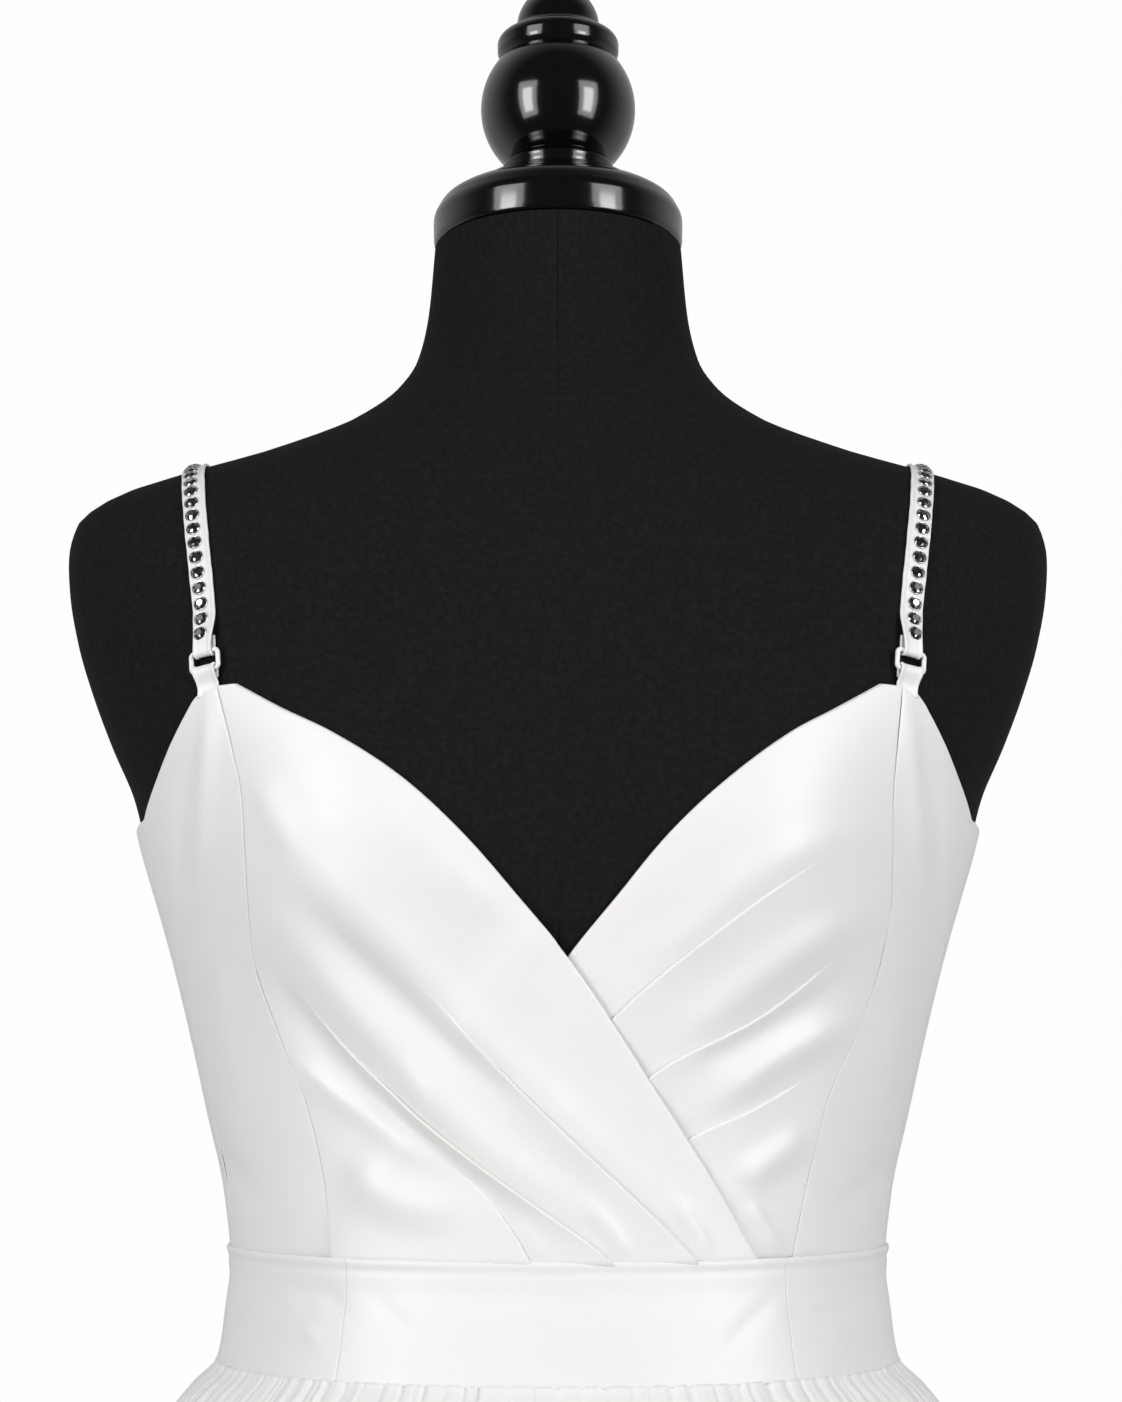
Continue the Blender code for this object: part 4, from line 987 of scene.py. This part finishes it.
def make_ring(word, centre, beside, up):
    """A rounded rectangle of wire."""
    wide, tall = RING["width"] / 2 - RING["wire"], RING["height"] / 2 - RING["wire"]
    corner = RING["corner"]
    curve = bpy.data.curves.new("enamel_ring_" + word, "CURVE")
    curve.dimensions = "3D"
    curve.bevel_depth = (RING["wire"] + RING["enamel"]) * MM
    curve.bevel_resolution = 6
    outline = []
    for quarter, (sign_x, sign_y) in enumerate(((1, 1), (-1, 1), (-1, -1), (1, -1))):
        for turn in np.linspace(0, math.pi / 2, 12):
            angle = quarter * math.pi / 2 + turn
            outline.append((sign_x * (wide - corner) + corner * math.cos(angle),
                            sign_y * (tall - corner) + corner * math.sin(angle)))
    spline = curve.splines.new("POLY")
    spline.points.add(len(outline) - 1)
    spline.use_cyclic_u = True
    for point, (step_x, step_y) in zip(spline.points, outline):
        point.co = (*((centre + beside * step_x + up * step_y) * MM), 1)
    add_piece("enamel_ring_" + word, curve, "white_ring", nodes=("ring_" + word,))


def stone_frames(middle, out, across):
    """For each stone its centre on the strap, the way out, across and along."""
    reach = np.concatenate([[0], np.cumsum(np.linalg.norm(np.diff(middle, axis=0), axis=1))])
    for place in np.arange(STONE["first"] + STONE["radius"], reach[-1] - STONE["last"], STONE["pitch"]):
        centre, normal, beside = (np.array([np.interp(place, reach, values[:, axis]) for axis in range(3)])
                                  for values in (middle, out, across))
        normal /= np.linalg.norm(normal)
        beside -= normal * (beside @ normal)
        beside /= np.linalg.norm(beside)
        centre += beside * STONE["aside"] + normal * STONE["up"]
        yield centre, normal, beside, np.cross(normal, beside)


def ring_points(at, angles, share, heights):
    """A ring round a stone's centre, at a share of its radius."""
    centre, normal, beside, up = at
    radius = STONE["radius"] * share
    return [centre + (beside * math.cos(angle) + up * math.sin(angle)) * radius + normal * height
            for angle, height in zip(angles, heights)]


def facets(first):
    """A stone's faces: the girdle's squares, two rows of triangles set opposite ways, and the table."""
    sides = STONE["sides"]
    faces = []
    for number, quad in enumerate(grid_faces(len(STONE_RINGS), sides, closed=True)):
        here, after, above_after, above = (first + corner for corner in quad)
        if number < sides:
            faces.append((here, after, above_after, above))
        elif number < 2 * sides:
            faces += [(here, after, above), (after, above_after, above)]
        else:
            faces += [(here, after, above_after), (here, above_after, above)]
    return faces + [tuple(first + (len(STONE_RINGS) - 1) * sides + step for step in range(sides))]


def make_stones(word, middle, out, across):
    """A row of faceted stones in round settings, on the strap from above the ring to the back."""
    stone_points, stone_faces, cup_points, cup_faces = [], [], [], []
    around = 2 * math.pi * np.arange(CUP["sides"]) / CUP["sides"]
    prongs = CUP["prong"] * (np.arange(CUP["sides"]) % CUP["prong_every"] == 0)
    for number, at in enumerate(stone_frames(middle, out, across)):
        stone_faces += facets(len(stone_points))
        for share, height, turn in STONE_RINGS:
            angles = (np.arange(STONE["sides"]) + turn + STONE["turn"] * number) * 2 * math.pi / STONE["sides"]
            stone_points += ring_points(at, angles, share, [height] * len(angles))
        first = len(cup_points)
        cup_faces += [tuple(first + corner for corner in face)
                      for face in grid_faces(len(CUP_RINGS), CUP["sides"], closed=True)]
        for share, height in CUP_RINGS:
            cup_points += ring_points(at, around, share, height * (1 + prongs * height))
    stones = add_piece("stones_" + word, mesh_of("stones_" + word, stone_points, stone_faces, smooth=False),
                       "crystal")
    stones.data.materials.append(LOOKS["crystal_painted_dark_reflection"])
    # Facets are painted bright and dark by turns: the dark ones get a near-black copy of the crystal, a
    # painted dark reflection standing in for facets that mirror dark surroundings.
    shade = np.sin(np.arange(len(stones.data.polygons)) * STONE["painted_sparkle"]) > STONE["painted_dark_above"]
    stones.data.polygons.foreach_set("material_index", shade.astype(np.int32))
    add_piece("stone_settings_" + word, mesh_of("stone_settings_" + word, cup_points, cup_faces),
              "stone_setting")


# ---- form, cap and stand

FORM_SEAMS = {"turns": (-180.0, -90.0, 0.0, 90.0), "depth": 0.4, "reach": 0.3, "per_radian": 100.0,
              "neck_z": 1349.0, "neck_depth": 0.45, "neck_reach": 0.35, "proud": 0.05,
              "steps": (-1.2, -0.7, -0.35, -0.15, 0.0, 0.15, 0.35, 0.7, 1.2)}


def make_form():
    """The covered torso, with fine seams down the middle and sides and round the neck's foot."""
    low, high, neck = FORM_SECTIONS[0, 0], FORM_SECTIONS[-1, 0], FORM_SEAMS["neck_z"]
    fine = np.array(FORM_SEAMS["steps"])
    levels = np.concatenate([np.linspace(low, neck - 4, 170), neck + fine, np.linspace(neck + 4, high, 26)])
    seams = np.radians(FORM_SEAMS["turns"])
    step = math.radians(3)
    angles = [np.concatenate([seam + fine / FORM_SEAMS["per_radian"],
                              np.arange(seam + step, seam + math.radians(89), step)]) for seam in seams]
    angle, z = np.meshgrid(np.concatenate(angles), levels)
    depth = FORM_SEAMS["neck_depth"] * np.exp(-((z - neck) / FORM_SEAMS["neck_reach"]) ** 2)
    for seam in seams:
        away = np.abs((angle - seam + math.pi) % (2 * math.pi) - math.pi) * FORM_SEAMS["per_radian"]
        depth = np.maximum(depth, FORM_SEAMS["depth"] * np.exp(-(away / FORM_SEAMS["reach"]) ** 2))
    points = over(angle, z, FORM_SEAMS["proud"] - depth)
    points[..., 2] = z
    rows, columns = z.shape
    faces = grid_faces(rows, columns, closed=True)
    faces.append(tuple(range(columns))[::-1])
    faces.append(tuple(range((rows - 1) * columns, rows * columns)))
    made = add_piece("form_cover", mesh_of("form_cover", points.reshape(-1, 3), faces), "form_cloth",
                     nodes=("form_body",))
    made.data.set_sharp_from_angle(angle=math.radians(60))


def turned_piece(name, node, profile, look, steps):
    """A turned piece from a half profile that runs from the top down its outer side."""
    outline = bmesh.new()
    corners = [outline.verts.new((radius * MM, 0, z * MM)) for radius, z in profile]
    for upper, lower in zip(corners, corners[1:]):
        outline.edges.new((upper, lower))
    mesh = bpy.data.meshes.new(name)
    outline.to_mesh(mesh)
    outline.free()
    made = add_piece(name, mesh, look, nodes=(node,))
    screw = made.modifiers.new("turn", "SCREW")
    screw.steps = screw.render_steps = steps
    screw.use_merge_vertices = True
    screw.merge_threshold = 0.005 * MM
    screw.use_smooth_shade = True
    edge = made.modifiers.new("edges", "EDGE_SPLIT")
    edge.split_angle = math.radians(50)


# Half profiles as (radius, height), from the top down; each span is a smooth curve.
BALL = {"radius": 31.7, "z": 1489.5}
CAP_TOP = ((0.0, 1541.5), (6.0, 1540.8), (11.0, 1538.4), (14.6, 1534.2), (16.6, 1529.0), (17.2, 1524.6))
CAP_COLLAR = ((19.0, 1522.6), (23.4, 1520.6), (25.0, 1517.4), (24.9, 1514.0), (23.8, 1511.6))
CAP_NECK = ((20.6, 1465.6), (22.6, 1464.4), (21.6, 1461.0), (24.0, 1459.0))
CAP_SHOULDER = ((24.0, 1459.0), (31.0, 1457.2), (34.0, 1454.4), (42.0, 1451.4), (47.4, 1447.8),
                (50.2, 1443.0))
CAP_RIM = ((50.6, 1441.5), (50.75, 1440.0), (50.6, 1432.4), (50.2, 1430.6), (49.0, 1429.3))
POLE = {"radius": 12.5, "sunk": 0.3, "foot": 40.3}
POLE_JOINT = ((12.5, 640.0), (12.62, 639.8), (12.62, 639.2), (12.5, 639.0))
BASE_TOP, BASE_FOOT_RADIUS = 40.0, 158.5
BASE_SPANS = (
    ((20.5, 40.0), (22.2, 39.0), (22.8, 36.0), (23.0, 26.0)),
    ((23.0, 26.0), (25.0, 20.5), (30.0, 18.0)),
    ((30.0, 18.0), (148.0, 10.5)),
    ((148.0, 10.5), (156.0, 8.4), (159.6, 4.6), (160.0, 2.2)),
)


def rounded(points, per_span=7):
    """A smooth profile through a few points."""
    shares = np.linspace(0, 1, per_span * (len(points) - 1) + 1)
    return [tuple(point) for point in along_curve(points, shares)]


def make_cap():
    """The turned cap: a tip, a collar, a ball, a stem that widens to the shoulder, and the rim."""
    start = math.acos((CAP_COLLAR[-1][1] - 0.6 - BALL["z"]) / BALL["radius"])
    stop = math.acos((CAP_NECK[0][1] + 0.4 - BALL["z"]) / BALL["radius"])
    ball = [(BALL["radius"] * math.sin(turn), BALL["z"] + BALL["radius"] * math.cos(turn))
            for turn in np.linspace(start, stop, 48)]
    profile = [*rounded(CAP_TOP), *rounded(CAP_COLLAR), *ball, *rounded(CAP_NECK), *rounded(CAP_SHOULDER),
               *rounded(CAP_RIM), (0.0, CAP_RIM[-1][1])]
    turned_piece("cap_turned", "neck_cap", profile, "gloss_black", 144)


def make_stand():
    """The pole with its sliding joint, and the round base."""
    top, foot, radius = FORM_SECTIONS[0, 0] - POLE["sunk"], POLE["foot"], POLE["radius"]
    pole = [(0.0, top), (radius, top), *POLE_JOINT, (radius, foot), (0.0, foot)]
    turned_piece("pole_tube", "stand_pole", pole, "stand_black", 96)
    base = [(0.0, BASE_TOP), *[point for span in BASE_SPANS for point in rounded(span)],
            (BASE_FOOT_RADIUS, 0.0), (0.0, 0.0)]
    turned_piece("base_disc", "stand_base", base, "stand_black", 144)


# ---- zip

BOX_CORNERS = np.array([(-1, -1, -1), (1, -1, -1), (1, 1, -1), (-1, 1, -1),
                        (-1, -1, 1), (1, -1, 1), (1, 1, 1), (-1, 1, 1)])
BOX_FACES = ((0, 3, 2, 1), (4, 5, 6, 7), (0, 1, 5, 4), (1, 2, 6, 5), (2, 3, 7, 6), (3, 0, 4, 7))


def make_zip_teeth():
    """The closed coil, seen in the groove between the backs below the slider."""
    points, faces = [], []
    half = np.array((ZIP_TEETH["half_width"], ZIP_TEETH["half_depth"], ZIP_TEETH["half_height"]))
    for number, z in enumerate(np.arange(ZIP_TEETH["low"], ZIP_TEETH["high"], ZIP_TEETH["pitch"])):
        centre = over(np.array(math.pi), np.array(z), CLEAR + WALL - ZIP_TEETH["sunk"])
        centre[0] += ZIP_TEETH["sway"] * (1 if number % 2 else -1)
        faces += [tuple(len(points) + corner for corner in face) for face in BOX_FACES]
        points += list(centre + BOX_CORNERS * half)
    add_piece("zip_teeth", mesh_of("zip_teeth", points, faces, smooth=False), "zip_white")


def finish_zip():
    """The zip's hard pieces keep their solids, under white enamel."""
    for node in ("zip_slider", "zip_pull"):
        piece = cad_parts[node]
        piece.data.materials.clear()
        piece.data.materials.append(LOOKS["zip_white"])


# ---- studio

DIAGONAL = math.sqrt(0.5)
AIM = (0.0, 0.0, 1.15)
LIGHTS = (
    # name, place on the wearer's left (m), width and height (m), power (W), mirrored in gloss
    ("box", (1.75 * DIAGONAL, -1.75 * DIAGONAL, 1.45), (0.85, 1.6), 9.8, True),
    ("core", (1.70 * DIAGONAL, -1.70 * DIAGONAL, 1.45), (0.42, 1.0), 6.4, True),
    ("back", (1.5, 1.8, 1.5), (1.0, 1.6), 9.0, False),
)
OVERHEAD = {"place": (0.0, -2.0, 2.1), "size": (1.8, 1.0), "power": 12.0}
FLOOR_RADIUS = 20.0
# Brightness all round, for matt and for glossy surfaces; glossy ones see it grow towards the back.
AMBIENT = 0.25
MIRRORED = {"From Min": -0.35, "From Max": 0.55, "To Min": 0.04, "To Max": 0.45}
BACKDROP = (0.99, 0.99, 0.99, 1)


def soft_box(name, place, size, power, mirrored):
    light = bpy.data.lights.new(name, "AREA")
    light.shape = "RECTANGLE"
    light.size, light.size_y = size
    light.energy = power
    made = bpy.data.objects.new(name, light)
    bpy.context.scene.collection.objects.link(made)
    made.location = place
    made.rotation_euler = (Vector(AIM) - made.location).to_track_quat("-Z", "Y").to_euler()
    made.visible_glossy = mirrored


def make_floor():
    bpy.ops.mesh.primitive_circle_add(vertices=96, radius=FLOOR_RADIUS, fill_type="NGON")
    floor = bpy.context.object
    floor.name = "floor"
    floor.data.materials.append(new_material("floor", FLOOR_COLOUR, 0.8))
    floor.visible_glossy = False


def make_world():
    """A white backdrop and an even light, weaker than the backdrop looks."""
    world = bpy.data.worlds.new("studio")
    bpy.context.scene.world = world
    world.use_nodes = True
    tree = world.node_tree
    tree.nodes.clear()
    place = new_node(tree, "ShaderNodeTexCoord")
    split = new_node(tree, "ShaderNodeSeparateXYZ")
    behind = new_node(tree, "ShaderNodeMapRange", MIRRORED, interpolation_type="SMOOTHSTEP")
    mirrored = new_node(tree, "ShaderNodeBackground")
    ambient = new_node(tree, "ShaderNodeBackground", {"Strength": AMBIENT})
    backdrop = new_node(tree, "ShaderNodeBackground", {"Color": BACKDROP})
    path = new_node(tree, "ShaderNodeLightPath")
    lighting = new_node(tree, "ShaderNodeMixShader")
    blend = new_node(tree, "ShaderNodeMixShader")
    output = new_node(tree, "ShaderNodeOutputWorld")
    for source, out, target, into in (
            (place, "Generated", split, "Vector"),
            (split, "Y", behind, "Value"),
            (behind, "Result", mirrored, "Strength"),
            (path, "Is Glossy Ray", lighting, "Fac"),
            (ambient, "Background", lighting, 1),
            (mirrored, "Background", lighting, 2),
            (path, "Is Camera Ray", blend, "Fac"),
            (lighting, "Shader", blend, 1),
            (backdrop, "Background", blend, 2),
            (blend, "Shader", output, "Surface")):
        tree.links.new(source.outputs[out], target.inputs[into])


def make_camera():
    data = bpy.data.cameras.new("camera")
    data.sensor_width = CAMERA["sensor"]
    data.lens = CAMERA["focal_px"] / CAMERA["long_side_px"] * CAMERA["sensor"]
    camera = bpy.data.objects.new("camera", data)
    bpy.context.scene.collection.objects.link(camera)
    camera.location = CAMERA["place"]
    camera.rotation_euler = (math.pi / 2 + CAMERA["tip"], 0, 0)
    bpy.context.scene.camera = camera
    bpy.context.scene.view_settings.view_transform = "Standard"
    bpy.context.scene.view_settings.look = "None"


def make_studio():
    """A pale floor, soft boxes on both sides in front and behind, one overhead, and the camera."""
    make_floor()
    for side, word in SIDES:
        for name, (x, y, z), size, power, mirrored in LIGHTS:
            soft_box(name + "_" + word, (side * x, y, z), size, power, mirrored)
    soft_box("overhead", OVERHEAD["place"], OVERHEAD["size"], OVERHEAD["power"], False)
    make_world()
    make_camera()


# ---- all

def make_dress():
    """All the cloth, by node."""
    made = {}
    for side, word in SIDES:
        made["bodice_front_" + word] = make_front(side, word)
        made["bodice_side_" + word] = make_side(side, word)
        made["bodice_back_" + word] = make_back(side, word)
    right = float(angle_at(BAND_SEAMS["right"], BAND_SEAMS["z"]))
    left = float(angle_at(BAND_SEAMS["left"], BAND_SEAMS["z"]))
    for node, first, last in (("waistband_front", right, left), ("waistband_side_right", -SIDE_ANGLE, right),
                              ("waistband_side_left", left, SIDE_ANGLE),
                              ("waistband_back_right", -math.pi, -SIDE_ANGLE),
                              ("waistband_back_left", SIDE_ANGLE, math.pi)):
        made[node] = make_band(node, first, last)
    for node, first, last in (("skirt_front", -SIDE_ANGLE, SIDE_ANGLE),
                              ("skirt_back_right", -math.pi, -SIDE_ANGLE),
                              ("skirt_back_left", SIDE_ANGLE, math.pi)):
        made[node] = make_skirt_piece(node, first, last)
    for side, word in SIDES:
        made.update(make_strap(side, word))
    return made


sheets = make_dress()
make_form()
make_cap()
make_stand()
make_zip_teeth()
finish_zip()
make_studio()
